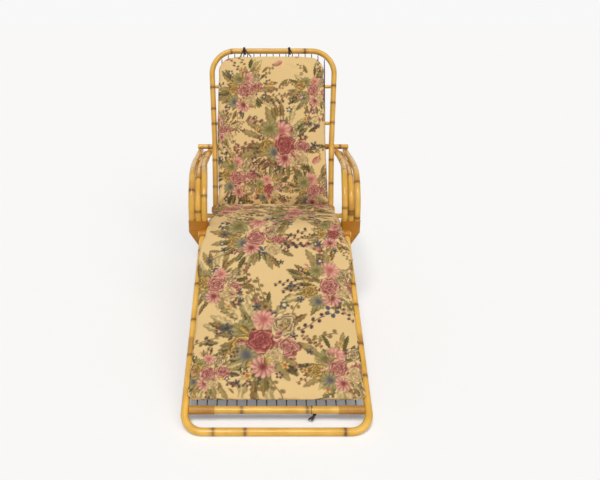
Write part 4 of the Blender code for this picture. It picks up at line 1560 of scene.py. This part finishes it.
# Stage
FLOOR_SIZE = 30.0
FLOOR_COLOR = (0.86, 0.83, 0.80, 1)
FLOOR_TINT = (0.68, 0.84, 1, 1)
FLOOR_GLOW = 0.174
FLOOR_ROUGHNESS = 0.9
SEEN_WHITE = 0.94
AMBIENT = 0.20
LAMP_COLOR = (1.0, 0.99, 0.97)
# Lamps as (name, place, strength, spread in degrees)
LAMPS = (
    ("key", (-0.3, -1.8, 3.0), 2.0, 20),
    ("fill", (0.9, -2.2, 2.5), 0.94, 50),
)
CAMERA_LENS = 39.0
CAMERA_SENSOR = 36.0
CAMERA_SHIFT = 0.0574
CAMERA_PLACE = (-0.035, -2.364589, 1.332)
CAMERA_TILT = math.radians(67.35)


def seen_by_eye(tree):
    """1 for the camera's rays and for those of reflections and glass, 0 for the rest."""
    path = add_node(tree, "ShaderNodeLightPath")
    first = calc(tree, "MAXIMUM", path.outputs["Is Camera Ray"], path.outputs["Is Glossy Ray"])
    return calc(tree, "MAXIMUM", first, path.outputs["Is Transmission Ray"])


def make_floor():
    """A pale floor that keeps the chair's shadow and glows to the camera, to meet the backdrop."""
    mesh = bpy.data.meshes.new("studio_floor")
    h = FLOOR_SIZE / 2
    mesh.from_pydata([(-h, -h, 0), (h, -h, 0), (h, h, 0), (-h, h, 0)], [], [(0, 1, 2, 3)])
    floor = bpy.data.objects.new("studio_floor", mesh)
    bpy.context.scene.collection.objects.link(floor)
    tree, shader, material = start_material("studio_floor", FLOOR_ROUGHNESS)
    values = {"Base Color": FLOOR_COLOR, "Emission Color": FLOOR_TINT, "Specular IOR Level": 0.0}
    set_inputs(shader, values)
    glow = calc(tree, "MULTIPLY", seen_by_eye(tree), FLOOR_GLOW)
    tree.links.new(glow, shader.inputs["Emission Strength"])
    mesh.materials.append(material)


def make_world():
    """White to the camera, softer as a light."""
    world = bpy.data.worlds.new("studio")
    bpy.context.scene.world = world
    world.use_nodes = True
    tree = world.node_tree
    shader = tree.nodes["Background"]
    shader.inputs["Color"].default_value = (1, 1, 1, 1)
    seen = calc(tree, "MULTIPLY", seen_by_eye(tree), SEEN_WHITE - AMBIENT)
    tree.links.new(calc(tree, "ADD", seen, AMBIENT), shader.inputs["Strength"])


def make_light(name, place, strength, spread_deg):
    """A broad, far lamp that shines from the place towards the chair, even over the whole floor."""
    light = bpy.data.lights.new(name, "SUN")
    light.angle = math.radians(spread_deg)
    light.energy = strength
    light.color = LAMP_COLOR
    made = bpy.data.objects.new(name, light)
    made.location = place
    made.rotation_euler = (-Vector(place)).to_track_quat("-Z", "Y").to_euler()
    bpy.context.scene.collection.objects.link(made)


def make_camera():
    """The photograph's view: from the foot, a little above the arms."""
    camera = bpy.data.cameras.new("photo_camera")
    camera.lens = CAMERA_LENS
    camera.sensor_width = CAMERA_SENSOR
    camera.shift_x = CAMERA_SHIFT
    made = bpy.data.objects.new("photo_camera", camera)
    made.location = CAMERA_PLACE
    made.rotation_euler = (CAMERA_TILT, 0, 0)
    bpy.context.scene.collection.objects.link(made)
    bpy.context.scene.camera = made


make_frames()
make_bars()
make_arms()
make_lashings()
make_nails()
make_lattices()
make_cover()
make_back_pad()
make_ties()
make_floor()
make_world()
for lamp in LAMPS:
    make_light(*lamp)
make_camera()
bpy.context.scene.view_settings.view_transform = "Standard"
